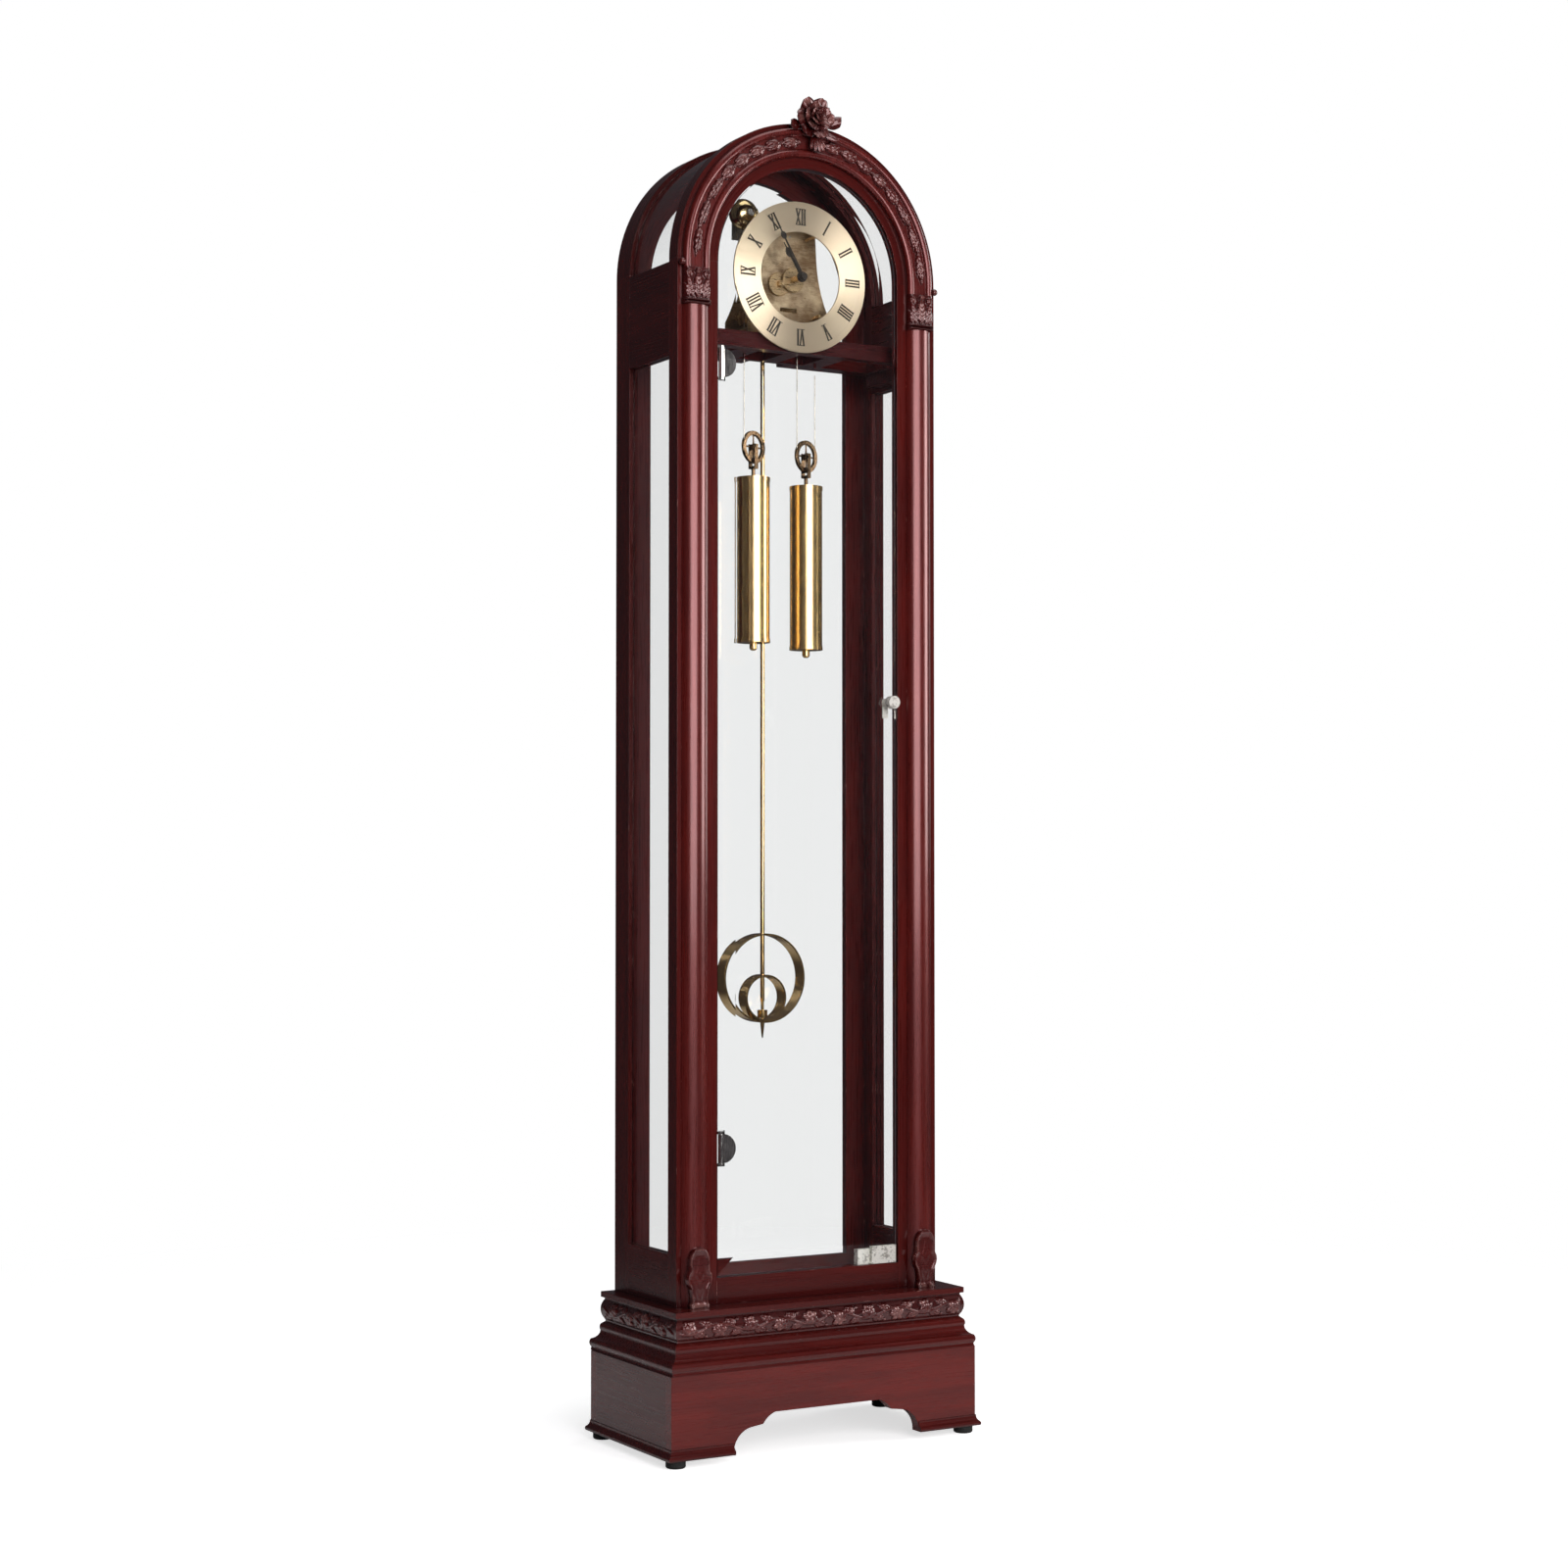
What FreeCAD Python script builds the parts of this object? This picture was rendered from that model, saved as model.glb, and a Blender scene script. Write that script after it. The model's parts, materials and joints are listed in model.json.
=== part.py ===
"""Longcase clock with a glazed arched case, two brass weights and a ring pendulum.

Millimetres. X runs to the clock's own right as seen from the front, +Y to the back, +Z up.
The origin is on the floor, under the middle of the plinth.
"""
import FreeCAD, Part
import math
import os

V = FreeCAD.Vector

# ---------------------------------------------------------------- driving dimensions
# plinth
GLIDE_R = 15.0
GLIDE_H = 12.0
PLINTH_HALF_W = 268.0
PLINTH_HALF_D = 133.0
PLINTH_TOP = 135.0
BOARD_T = 18.0
FOOT_PROUD = 7.0
FOOT_MOULDING_H = 16.0
APRON_HALF_W = 163.0
APRON_TOP = 68.0
# stepped top of the plinth
LIP_HALF_W = 254.7
LIP_FRONT = -122.0
LIP_BACK = 126.0
TORUS_PROUD = 13.3
FRIEZE_Z = 180.0
LIP_Z = 217.0
CASE_Z = 225.5
# case
CASE_HALF_W = 230.5
CASE_FRONT = -77.5
CASE_BACK = 126.0
FRAME_T = 18.0
BACK_FRAME_T = 20.0
SPRING_Z = 1802.0
DOORWAY_HALF_W = 161.5
DOORWAY_SILL = 265.0
BACK_OPEN_HALF_W = 178.0
BACK_SILL = 262.0
SIDE_FRONT = -50.0
SIDE_BACK = 81.0
SIDE_T = 18.0
SIDE_SILL = 302.0
SIDE_HEAD = 1656.0
SIDE_PANEL_TOP = 1799.0
GLASS_T = 4.0
GROOVE = 4.0
GROOVE_PLAY = 0.2
BACK_GLASS_T = 3.0
REBATE = 6.0
# applied column, capital and carvings
COLUMN_X = 200.7
COLUMN_HALF_W = 22.5
COLUMN_PROUD = 12.0
NECK_Z = 1731.0
CAPITAL_Z = 1740.0
CAPITAL_TOP = 1787.0
ORNAMENT_TOP = 315.0
ROSE_TOP = 2071.0
# garland on the arch, in degrees from its top
HUSK_R = 10.0
HUSK_SINK = 4.0
HUSK_FIRST = 10.0
HUSK_PITCH = 9.1
HUSK_COUNT = 5
LONG_LEAVES = ((51.5, 63.5), (64.5, 76.5), (77.5, 89.0))
LONG_LEAF_HALF_W = 7.5
LONG_LEAF_PROUD = 5.0
# seat board
SEAT_Z = 1683.0
SEAT_T = 25.0
SEAT_FRONT = -42.0
# dial and hands
DIAL_Z = 1800.0
DIAL_R = 117.7
DIAL_HOLE_R = 71.0
DIAL_FRONT = -50.2
DIAL_T = 3.0
MINUTE_ANGLE = 330.0
HOUR_ANGLE = 327.5
# movement plates
PLATE_FRONT = -17.0
PLATE_BACK = 44.5
PLATE_T = 2.5
PLATE_TOP = 1885.0
# pendulum
PENDULUM_Y = 69.3
BOB_Z = 706.7
BOB_R = 70.5
INNER_RING_R = 36.5
BAND_T = 3.0
BAND_DEPTH = 25.0
ROD_R = 3.5
# weights
WEIGHT_X = 47.9
WEIGHT_Y = 14.6
WEIGHT_R = 25.6
WEIGHT_L = 259.0
WEIGHT_TOP = {-1: 1491.2, 1: 1483.4}
PULLEY_ABOVE = 47.8
PULLEY_R = 25.8
PULLEY_TURN = 19.0
CABLE_R = 0.8
CABLE_BEND_R = 21.8
FERRULE_H = 8.0
DRUM_R = 15.0
DRUM_Z = 1745.5
# door
DOOR_T = 5.0
DOOR_FRONT = -76.0
DOOR_GAP = 2.5
BEVEL_W = 30.0
BEVEL_DEPTH = 1.5
HINGE_X = -154.0
HINGE_Y = -76.5
HINGE_Z = (458.0, 1648.0)
KNOB_X = 149.0
KNOB_Z = 1140.0

SEAT_TOP = SEAT_Z + SEAT_T


# ---------------------------------------------------------------- helpers
def save(node, *shapes):
    """Write one node; several solids go out together as a group."""
    shape = shapes[0] if len(shapes) == 1 else Part.makeCompound(list(shapes))
    shape.exportStep("parts/" + node + ".step")


def box(x0, x1, y0, y1, z0, z1):
    return Part.makeBox(x1 - x0, y1 - y0, z1 - z0, V(x0, y0, z0))


def rod(radius, start, end):
    axis = V(*end) - V(*start)
    return Part.makeCylinder(radius, axis.Length, V(*start), axis)


def disc_y(radius, x, z, y0, y1):
    """Cylinder along Y."""
    return Part.makeCylinder(radius, y1 - y0, V(x, y0, z), V(0, 1, 0))


def ring_y(outer, inner, x, z, y0, y1):
    return disc_y(outer, x, z, y0, y1).cut(disc_y(inner, x, z, y0 - 1, y1 + 1))


def wire(steps):
    """Closed wire from 3-D points; a step ("arc", middle, end) is a round stretch."""
    edges = []
    start = V(*steps[0])
    first = start
    for step in steps[1:] + [steps[0]]:
        if step[0] == "arc":
            end = V(*step[2])
            edges.append(Part.Arc(start, V(*step[1]), end).toShape())
        else:
            end = V(*step)
            if (end - start).Length > 1e-6:
                edges.append(Part.LineSegment(start, end).toShape())
        start = end
    assert (start - first).Length < 1e-6
    return Part.Wire(edges)


def lift(steps, place):
    """Turn 2-D steps into 3-D ones with place(u, v)."""
    lifted = []
    for step in steps:
        if step[0] == "arc":
            lifted.append(("arc", place(*step[1]), place(*step[2])))
        else:
            lifted.append(place(*step))
    return lifted


def prism_y(steps, y0, y1):
    """Outline in X-Z, pushed along Y."""
    face = Part.Face(wire(lift(steps, lambda x, z: (x, y0, z))))
    return face.extrude(V(0, y1 - y0, 0))


def prism_z(steps, z0, z1):
    """Outline in X-Y, pushed along Z."""
    face = Part.Face(wire(lift(steps, lambda x, y: (x, y, z0))))
    return face.extrude(V(0, 0, z1 - z0))


def mirrored(shape):
    return shape.mirror(V(0, 0, 0), V(1, 0, 0))


def pair(shape):
    """The piece and its mirror image on the other side of the clock."""
    return shape, mirrored(shape)


def turned(profile, x, y):
    """Solid turned about a vertical axis from (radius, height) steps."""
    face = Part.Face(wire(lift(profile, lambda r, z: (x + r, y, z))))
    return face.revolve(V(x, y, 0), V(0, 0, 1), 360)


def arch_band(outer, inner, y0, y1):
    """Half ring over the spring line."""
    steps = [
        (outer, SPRING_Z),
        ("arc", (0, SPRING_Z + outer), (-outer, SPRING_Z)),
        (-inner, SPRING_Z),
        ("arc", (0, SPRING_Z + inner), (inner, SPRING_Z)),
    ]
    return prism_y(steps, y0, y1)


def arched_pane(half_w, sill, y0, y1):
    steps = [
        (-half_w, sill),
        (half_w, sill),
        (half_w, SPRING_Z),
        ("arc", (0, SPRING_Z + half_w), (-half_w, SPRING_Z)),
    ]
    return prism_y(steps, y0, y1)


def moulded_frame(profile):
    """Frame round the stepped plinth top, mitred at the corners.

    The profile is in (distance proud of the lip, height) steps.
    """
    front = wire(lift(profile, lambda d, z: (0, LIP_FRONT - d, z)))
    x = LIP_HALF_W
    corners = [
        V(0, LIP_FRONT, 0),
        V(x, LIP_FRONT, 0),
        V(x, LIP_BACK, 0),
        V(-x, LIP_BACK, 0),
        V(-x, LIP_FRONT, 0),
        V(0, LIP_FRONT, 0),
    ]
    sweep = Part.BRepOffsetAPI.MakePipeShell(Part.makePolygon(corners))
    sweep.setTransitionMode(1)
    sweep.add(front)
    sweep.build()
    sweep.makeSolid()
    return sweep.shape()


# ---------------------------------------------------------------- plinth
def apron_outline(half_w):
    """Board with the cut-out between its two bracket feet."""
    right = [
        (APRON_HALF_W, GLIDE_H),
        ("arc", (155.0, 37.0), (134.0, 49.0)),
        (113.0, 52.0),
        ("arc", (105.0, 61.0), (92.0, APRON_TOP)),
    ]
    left = [
        (-92.0, APRON_TOP),
        ("arc", (-105.0, 61.0), (-113.0, 52.0)),
        (-134.0, 49.0),
        ("arc", (-155.0, 37.0), (-APRON_HALF_W, GLIDE_H)),
    ]
    outer = [(-half_w, GLIDE_H), (-half_w, PLINTH_TOP), (half_w, PLINTH_TOP), (half_w, GLIDE_H)]
    return outer + right + left


def build_plinth():
    outline = apron_outline(PLINTH_HALF_W)
    front = prism_y(outline, -PLINTH_HALF_D, -PLINTH_HALF_D + BOARD_T)
    back = prism_y(outline, PLINTH_HALF_D - BOARD_T, PLINTH_HALF_D)
    save("plinth_front_and_back", front, back)

    depth = PLINTH_HALF_D - BOARD_T
    side = box(PLINTH_HALF_W - BOARD_T, PLINTH_HALF_W, -depth, depth, GLIDE_H, PLINTH_TOP)
    save("plinth_sides", *pair(side))

    edge = 3.0
    inset = edge * (1 - math.sqrt(0.5))
    glides = []
    for x in (-1, 1):
        for y in (-1, 1):
            centre = (x * (PLINTH_HALF_W - 14), y * (PLINTH_HALF_D - 13))
            profile = [
                (0, 0), (GLIDE_R - edge, 0),
                ("arc", (GLIDE_R - inset, inset), (GLIDE_R, edge)),
                (GLIDE_R, GLIDE_H), (0, GLIDE_H),
            ]
            glides.append(turned(profile, *centre))
    save("glides", *glides)


def build_foot_mouldings():
    """Flared strip round the bottom of the plinth, left out under the two aprons."""
    x = PLINTH_HALF_W
    y = PLINTH_HALF_D
    top = GLIDE_H + FOOT_MOULDING_H
    profile = [
        (0, GLIDE_H), (FOOT_PROUD - 1, GLIDE_H),
        ("arc", (FOOT_PROUD, GLIDE_H + 3), (FOOT_PROUD - 1, GLIDE_H + 6)),
        ("arc", (2.6, GLIDE_H + 9.5), (1.2, top)),
        (0, top),
    ]
    start = wire(lift(profile, lambda d, z: (APRON_HALF_W, -y - d, z)))
    path = Part.makePolygon([V(APRON_HALF_W, -y, 0), V(x, -y, 0), V(x, y, 0), V(APRON_HALF_W, y, 0)])
    sweep = Part.BRepOffsetAPI.MakePipeShell(path)
    sweep.setTransitionMode(1)
    sweep.add(start)
    sweep.build()
    sweep.makeSolid()
    save("foot_mouldings", *pair(sweep.shape()))


def build_plinth_top():
    inside = -60.0
    torus = [
        (inside, PLINTH_TOP),
        (TORUS_PROUD - 1.5, PLINTH_TOP), (TORUS_PROUD - 2.5, 139.5),
        ("arc", (TORUS_PROUD, 146.0), (TORUS_PROUD - 2.0, 152.5)),
        ("arc", (4.0, 157.0), (0.5, 166.0)),
        ("arc", (1.5, 171.0), (0.0, 176.0)),
        (-5.0, FRIEZE_Z), (inside, FRIEZE_Z),
    ]
    save("base_moulding", moulded_frame(torus))
    ovolo = [
        (inside, FRIEZE_Z), (-5.5, FRIEZE_Z), (-5.0, 182.5),
        ("arc", (0.3, 197.0), (-4.5, 214.0)),
        (-4.5, LIP_Z), (inside, LIP_Z),
    ]
    save("carved_frieze", moulded_frame(ovolo))
    lip = box(-LIP_HALF_W, LIP_HALF_W, LIP_FRONT, LIP_BACK, LIP_Z, CASE_Z)
    save("base_top_board", lip)


# ---------------------------------------------------------------- case
def side_glass_groove():
    """Space that a side pane takes, with its play, for cutting grooves."""
    x = CASE_HALF_W - SIDE_T / 2
    reach = GLASS_T / 2 + GROOVE_PLAY
    z0 = SIDE_SILL - GROOVE - GROOVE_PLAY
    z1 = SIDE_HEAD + GROOVE + GROOVE_PLAY
    y0 = SIDE_FRONT - GROOVE - GROOVE_PLAY
    y1 = SIDE_BACK + GROOVE + GROOVE_PLAY
    return box(x - reach, x + reach, y0, y1, z0, z1)


def roof_shell(grow):
    """Curved roof pane with short straight legs; grow adds play for the groove."""
    mid = CASE_HALF_W - SIDE_T / 2
    outer = mid + GLASS_T / 2 + grow
    inner = mid - GLASS_T / 2 - grow
    foot = SIDE_PANEL_TOP - GROOVE - grow
    y0 = SIDE_FRONT - GROOVE - grow
    y1 = SIDE_BACK + GROOVE + grow
    steps = [
        (outer, foot), (outer, SPRING_Z),
        ("arc", (0, SPRING_Z + outer), (-outer, SPRING_Z)),
        (-outer, foot), (-inner, foot), (-inner, SPRING_Z),
        ("arc", (0, SPRING_Z + inner), (inner, SPRING_Z)),
        (inner, foot),
    ]
    return prism_y(steps, y0, y1)


def build_front_frame():
    rear = CASE_FRONT + FRAME_T
    groove = side_glass_groove()
    roof_groove = roof_shell(GROOVE_PLAY)
    section = [
        (DOORWAY_HALF_W, CASE_FRONT), (CASE_HALF_W, CASE_FRONT), (CASE_HALF_W, SIDE_FRONT),
        (CASE_HALF_W - SIDE_T, SIDE_FRONT), (CASE_HALF_W - SIDE_T, rear), (DOORWAY_HALF_W, rear),
    ]
    stile = prism_z(section, CASE_Z, SPRING_Z).cut(groove).cut(roof_groove)
    save("front_stiles", *pair(stile))
    arch = arch_band(CASE_HALF_W, DOORWAY_HALF_W, CASE_FRONT, rear)
    rim = arch_band(CASE_HALF_W, CASE_HALF_W - SIDE_T, rear, SIDE_FRONT)
    save("front_arch", arch.fuse(rim).removeSplitter().cut(roof_groove))


def build_back_frame():
    front = CASE_BACK - BACK_FRAME_T
    groove = side_glass_groove()
    roof_groove = roof_shell(GROOVE_PLAY)
    pane_y = CASE_BACK - 8.0
    rebate = arched_pane(BACK_OPEN_HALF_W + REBATE + GROOVE_PLAY, BACK_SILL - REBATE - GROOVE_PLAY,
                         pane_y, CASE_BACK + 1)
    inner = BACK_OPEN_HALF_W
    section = [
        (inner, CASE_BACK), (CASE_HALF_W, CASE_BACK), (CASE_HALF_W, SIDE_BACK),
        (CASE_HALF_W - SIDE_T, SIDE_BACK), (CASE_HALF_W - SIDE_T, front), (inner, front),
    ]
    stile = prism_z(section, CASE_Z, SPRING_Z).cut(groove).cut(roof_groove).cut(rebate)
    save("back_stiles", *pair(stile))
    arch = arch_band(CASE_HALF_W, inner, front, CASE_BACK)
    rim = arch_band(CASE_HALF_W, CASE_HALF_W - SIDE_T, SIDE_BACK, front)
    save("back_arch", arch.fuse(rim).removeSplitter().cut(roof_groove).cut(rebate))

    front_rail = box(-DOORWAY_HALF_W, DOORWAY_HALF_W, CASE_FRONT, CASE_FRONT + FRAME_T,
                     CASE_Z, DOORWAY_SILL)
    back_rail = box(-inner, inner, front, CASE_BACK, CASE_Z, BACK_SILL).cut(rebate)
    save("bottom_rails", front_rail, back_rail)

    pane = arched_pane(inner + REBATE, BACK_SILL - REBATE, pane_y, pane_y + BACK_GLASS_T)
    save("back_glass", pane)


def build_sides():
    x0 = CASE_HALF_W - SIDE_T
    groove = side_glass_groove()
    rail = box(x0, CASE_HALF_W, SIDE_FRONT, SIDE_BACK, CASE_Z, SIDE_SILL).cut(groove)
    save("side_rails", *pair(rail))
    panel = box(x0, CASE_HALF_W, SIDE_FRONT, SIDE_BACK, SIDE_HEAD, SIDE_PANEL_TOP)
    save("side_panels", *pair(panel.cut(groove).cut(roof_shell(GROOVE_PLAY))))
    mid = CASE_HALF_W - SIDE_T / 2
    pane = box(mid - GLASS_T / 2, mid + GLASS_T / 2, SIDE_FRONT - GROOVE, SIDE_BACK + GROOVE,
               SIDE_SILL - GROOVE, SIDE_HEAD + GROOVE)
    save("side_glass", *pair(pane))
    save("roof_glass", roof_shell(0.0))


# ---------------------------------------------------------------- applied carvings
def build_columns():
    x = COLUMN_X
    w = COLUMN_HALF_W
    face = CASE_FRONT
    section = [
        (x - w, face), (x + w, face),
        ("arc", (x, face - COLUMN_PROUD), (x - w, face)),
    ]
    save("columns", *pair(prism_z(section, CASE_Z, NECK_Z)))

    neck = box(x - w - 1, x + w + 1, face - 15, face, NECK_Z, CAPITAL_Z)
    block = box(x - w, x + w, face - 14, face, CAPITAL_Z, CAPITAL_TOP)
    save("capitals", *pair(neck.fuse(block).removeSplitter()))

    z = CASE_Z
    crest = face - COLUMN_PROUD
    shield = [
        (x - 17, z), (x + 17, z), (x + 19, z + 30),
        ("arc", (x + 24, z + 44), (x + 18, z + 60)),
        ("arc", (x + 11, z + 82), (x, ORNAMENT_TOP)),
        ("arc", (x - 11, z + 82), (x - 18, z + 60)),
        ("arc", (x - 24, z + 44), (x - 19, z + 30)),
    ]
    save("foot_ornaments", *pair(prism_y(shield, crest - 9, crest)))


def build_arch_mouldings():
    """Two beads with a flat channel between them, running round the arch."""
    inner = COLUMN_X - COLUMN_HALF_W
    outer = COLUMN_X + COLUMN_HALF_W
    face = CASE_FRONT
    channel = face - 6.0
    profile = [
        (inner, face), (inner, face - 3),
        ("arc", (inner + 6, face - 10), (inner + 12, channel)),
        (outer - 12, channel),
        ("arc", (outer - 6, face - 10), (outer, face - 3)),
        (outer, face),
    ]
    section = Part.Face(wire(lift(profile, lambda r, y: (r, y, SPRING_Z))))
    bow = section.revolve(V(0, 0, SPRING_Z), V(0, -1, 0), 180)
    leg_face = Part.Face(wire(lift(profile, lambda r, y: (r, y, CAPITAL_TOP))))
    leg = leg_face.extrude(V(0, 0, SPRING_Z - CAPITAL_TOP))
    save("arch_moulding", bow.fuse([leg, mirrored(leg)]).removeSplitter())

    husk_turns = [HUSK_FIRST + HUSK_PITCH * step for step in range(HUSK_COUNT)]
    half_space = box(-300, 300, channel, 0, SPRING_Z - 50, SPRING_Z + 300)
    leaves = []
    for turn in husk_turns:
        angle = math.radians(90 - turn)
        centre = V(COLUMN_X * math.cos(angle), channel + HUSK_SINK, SPRING_Z + COLUMN_X * math.sin(angle))
        leaves += pair(Part.makeSphere(HUSK_R, centre).cut(half_space))
    for start, end in LONG_LEAVES:
        leaves += pair(long_leaf(start, end, channel))
    save("arch_garland", *leaves)


def long_leaf(start, end, channel):
    """Rounded strand on the channel, between two angles from the top of the arch."""
    crest = channel - LONG_LEAF_PROUD
    outline = [
        (COLUMN_X - LONG_LEAF_HALF_W, channel),
        ("arc", (COLUMN_X, crest), (COLUMN_X + LONG_LEAF_HALF_W, channel)),
    ]
    section = Part.Face(wire(lift(outline, lambda r, y: (r, y, SPRING_Z))))
    section.rotate(V(0, 0, SPRING_Z), V(0, -1, 0), 90 - end)
    return section.revolve(V(0, 0, SPRING_Z), V(0, -1, 0), end - start)


def build_rose():
    """Flower at the crown between two leaves, with a bud hanging below."""
    back = CASE_FRONT - 10.1
    flower_z = 2040.0
    flower = Part.makeSphere(31.0, V(0, back - 4, flower_z))
    keep = box(-60, 60, back - 27, back, 1950, ROSE_TOP)
    short_leaf = prism_y([
        (0, 2006), ("arc", (-26, 2010), (-41, 2024)), (-40, 2042), (0, 2050),
    ], back - 12, back)
    long_leaf = prism_y([
        (0, 2004), ("arc", (24, 2008), (41, 2021)), (47, 2037), (33, 2046), (0, 2040),
    ], back - 12, back)
    bud = prism_y([
        (-8, 2018), (8, 2018), ("arc", (12, 2004), (19, 1989)),
        ("arc", (3, 1984), (-13, 1990)), ("arc", (-11, 2004), (-8, 2018)),
    ], back - 16, back)
    rose = flower.common(keep).fuse([short_leaf, long_leaf, bud]).removeSplitter()
    save("crown_rose", rose)


# ---------------------------------------------------------------- seat board
def build_seat():
    x0 = CASE_HALF_W - SIDE_T
    board = box(-x0, x0, SEAT_FRONT, SIDE_BACK, SEAT_Z, SEAT_TOP)
    cable_window = box(14, 60, -22, 46, SEAT_Z - 1, SEAT_TOP + 1)
    outer_window = box(96, 186, -22, 52, SEAT_Z - 1, SEAT_TOP + 1)
    for window in (cable_window, outer_window):
        board = board.cut(window).cut(mirrored(window))
    board = board.cut(box(-32, 32, 56, SIDE_BACK + 1, SEAT_Z - 1, SEAT_TOP + 1))
    cleat = box(x0 - 16, x0, SEAT_FRONT + 6, SIDE_BACK - 10, SEAT_Z - 20, SEAT_Z)
    ferrules = []
    for side in (-1, 1):
        end = cable_point(side, 1, SEAT_Z - FERRULE_H)
        ferrules.append(Part.makeCylinder(2.2, FERRULE_H, end, V(0, 0, 1)))
    save("seat_board", board, *pair(cleat), *ferrules)


# ---------------------------------------------------------------- gears
def gear_steps(teeth, module, x, z, phase):
    """Straight-flanked teeth with generous backlash; the first tooth points at phase degrees."""
    pitch = 2 * math.pi / teeth
    radius = teeth * module / 2
    corners = (
        (radius - 1.1 * module, -0.26),
        (radius + 0.8 * module, -0.10),
        (radius + 0.8 * module, 0.10),
        (radius - 1.1 * module, 0.26),
    )
    steps = []
    for tooth in range(teeth):
        for r, share in corners:
            angle = math.radians(phase) + (tooth + share) * pitch
            steps.append((x + r * math.cos(angle), z + r * math.sin(angle)))
    return steps


def gear(teeth, module, centre, phase, y0, y1):
    return prism_y(gear_steps(teeth, module, centre[0], centre[1], phase), y0, y1)


def mesh_phase(driver, driven, driver_teeth, driven_teeth, driver_phase):
    """Phase that puts a gap of the driven gear where the driver has a tooth."""
    line = math.degrees(math.atan2(driven[1] - driver[1], driven[0] - driver[0]))
    driver_share = (line - driver_phase) / (360.0 / driver_teeth)
    return line + 180 - (0.5 - driver_share) * (360.0 / driven_teeth)


def meeting_point(a, ra, b, rb, side):
    """Point at distance ra from a and rb from b."""
    dx = b[0] - a[0]
    dz = b[1] - a[1]
    d = math.hypot(dx, dz)
    along = (ra * ra - rb * rb + d * d) / (2 * d)
    off = side * math.sqrt(ra * ra - along * along)
    return (a[0] + (along * dx - off * dz) / d, a[1] + (along * dz + off * dx) / d)


def spoked(wheel, centre, rim_inner, hub, arm_half_w, y0, y1, arms=4):
    """Open the wheel between its hub and rim, leaving crossed arms."""
    gap = ring_y(rim_inner, hub, centre[0], centre[1], y0 - 1, y1 + 1)
    for arm in range(arms):
        bar = box(0, rim_inner + 5, y0 - 2, y1 + 2, -arm_half_w, arm_half_w)
        bar.rotate(V(0, 0, 0), V(0, 1, 0), 360.0 * arm / arms)
        bar.translate(V(centre[0], 0, centre[1]))
        gap = gap.cut(bar)
    return wheel.cut(gap)


# train: teeth, module and places of the arbors in the X-Z plane
GREAT_TEETH = 54
GREAT_MODULE = 1.0
SECOND_PINION = 15
SECOND_TEETH = 70
SECOND_MODULE = 0.8
CENTRE_PINION = 21
CENTRE_TEETH = 80
FINE_MODULE = 0.7
LEAVES = 10
THIRD_TEETH = 75
CANNON_TEETH = 20
MINUTE_TEETH = 60
MINUTE_MODULE = 0.6
MINUTE_PINION = 15
HOUR_TEETH = 60
HOUR_MODULE = 0.64
ESCAPE_TEETH = 30
ESCAPE_R = 14.0
ANCHOR_RISE = 20.0

CENTRE = (0.0, DIAL_Z)
CABLE_SPREAD = CABLE_BEND_R * math.cos(math.radians(PULLEY_TURN))
DRUM_X = WEIGHT_X - CABLE_SPREAD + DRUM_R + CABLE_R + 0.4
DRUM = (DRUM_X, DRUM_Z)
STRIKE_DRUM = (-DRUM_X, DRUM_Z)
SECOND = meeting_point(
    DRUM, (GREAT_TEETH + SECOND_PINION) * GREAT_MODULE / 2,
    CENTRE, (SECOND_TEETH + CENTRE_PINION) * SECOND_MODULE / 2, -1)
THIRD_DISTANCE = (CENTRE_TEETH + LEAVES) * FINE_MODULE / 2
ESCAPE_DISTANCE = (THIRD_TEETH + LEAVES) * FINE_MODULE / 2
THIRD_LEAN = math.radians(125.0)
THIRD = (THIRD_DISTANCE * math.cos(THIRD_LEAN), DIAL_Z + THIRD_DISTANCE * math.sin(THIRD_LEAN))
ESCAPE = (0.0, THIRD[1] + math.sqrt(ESCAPE_DISTANCE ** 2 - THIRD[0] ** 2))
ANCHOR = (0.0, ESCAPE[1] + ANCHOR_RISE)
MINUTE_DISTANCE = (CANNON_TEETH + MINUTE_TEETH) * MINUTE_MODULE / 2
MINUTE_LEAN = math.radians(200.0)
MINUTE = (MINUTE_DISTANCE * math.cos(MINUTE_LEAN), DIAL_Z + MINUTE_DISTANCE * math.sin(MINUTE_LEAN))
HAMMER = (-24.0, 1866.0)
BELL = (-57.0, 1906.0)
BELL_R = 24.0
PILLARS = ((-66.0, 1720.0), (66.0, 1720.0), (-39.0, 1850.0), (39.0, 1850.0))
DIAL_POSTS = ((-46.0, 1739.0), (46.0, 1739.0), (-30.0, 1868.0), (30.0, 1868.0))

PIVOT_R = 1.5
FIT = 0.05
CENTRE_ARBOR_R = 2.5
CANNON_R = 3.6
HOUR_PIPE_R = 5.2
WINDING_R = 3.5
PLATE_REAR = PLATE_BACK + PLATE_T
PLATE_INNER = PLATE_FRONT + PLATE_T


def arbor(centre, radius):
    """Shaft between the plates with a thinner pivot at each end."""
    shaft = disc_y(radius, centre[0], centre[1], PLATE_INNER + 0.4, PLATE_BACK - 0.4)
    pivot = disc_y(PIVOT_R, centre[0], centre[1], PLATE_FRONT - 0.3, PLATE_REAR + 0.3)
    return shaft.fuse(pivot)


def plate_outline():
    """Movement plate, flared towards the seat board."""
    top = PLATE_TOP
    return [
        (-76, SEAT_TOP), (76, SEAT_TOP), (76, 1738),
        ("arc", (56, 1788), (48, 1840)),
        (46, top - 8), ("arc", (43.6, top - 2.4), (38, top)),
        (-38, top), ("arc", (-43.6, top - 2.4), (-46, top - 8)),
        (-48, 1840), ("arc", (-56, 1788), (-76, 1738)),
    ]


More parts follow.
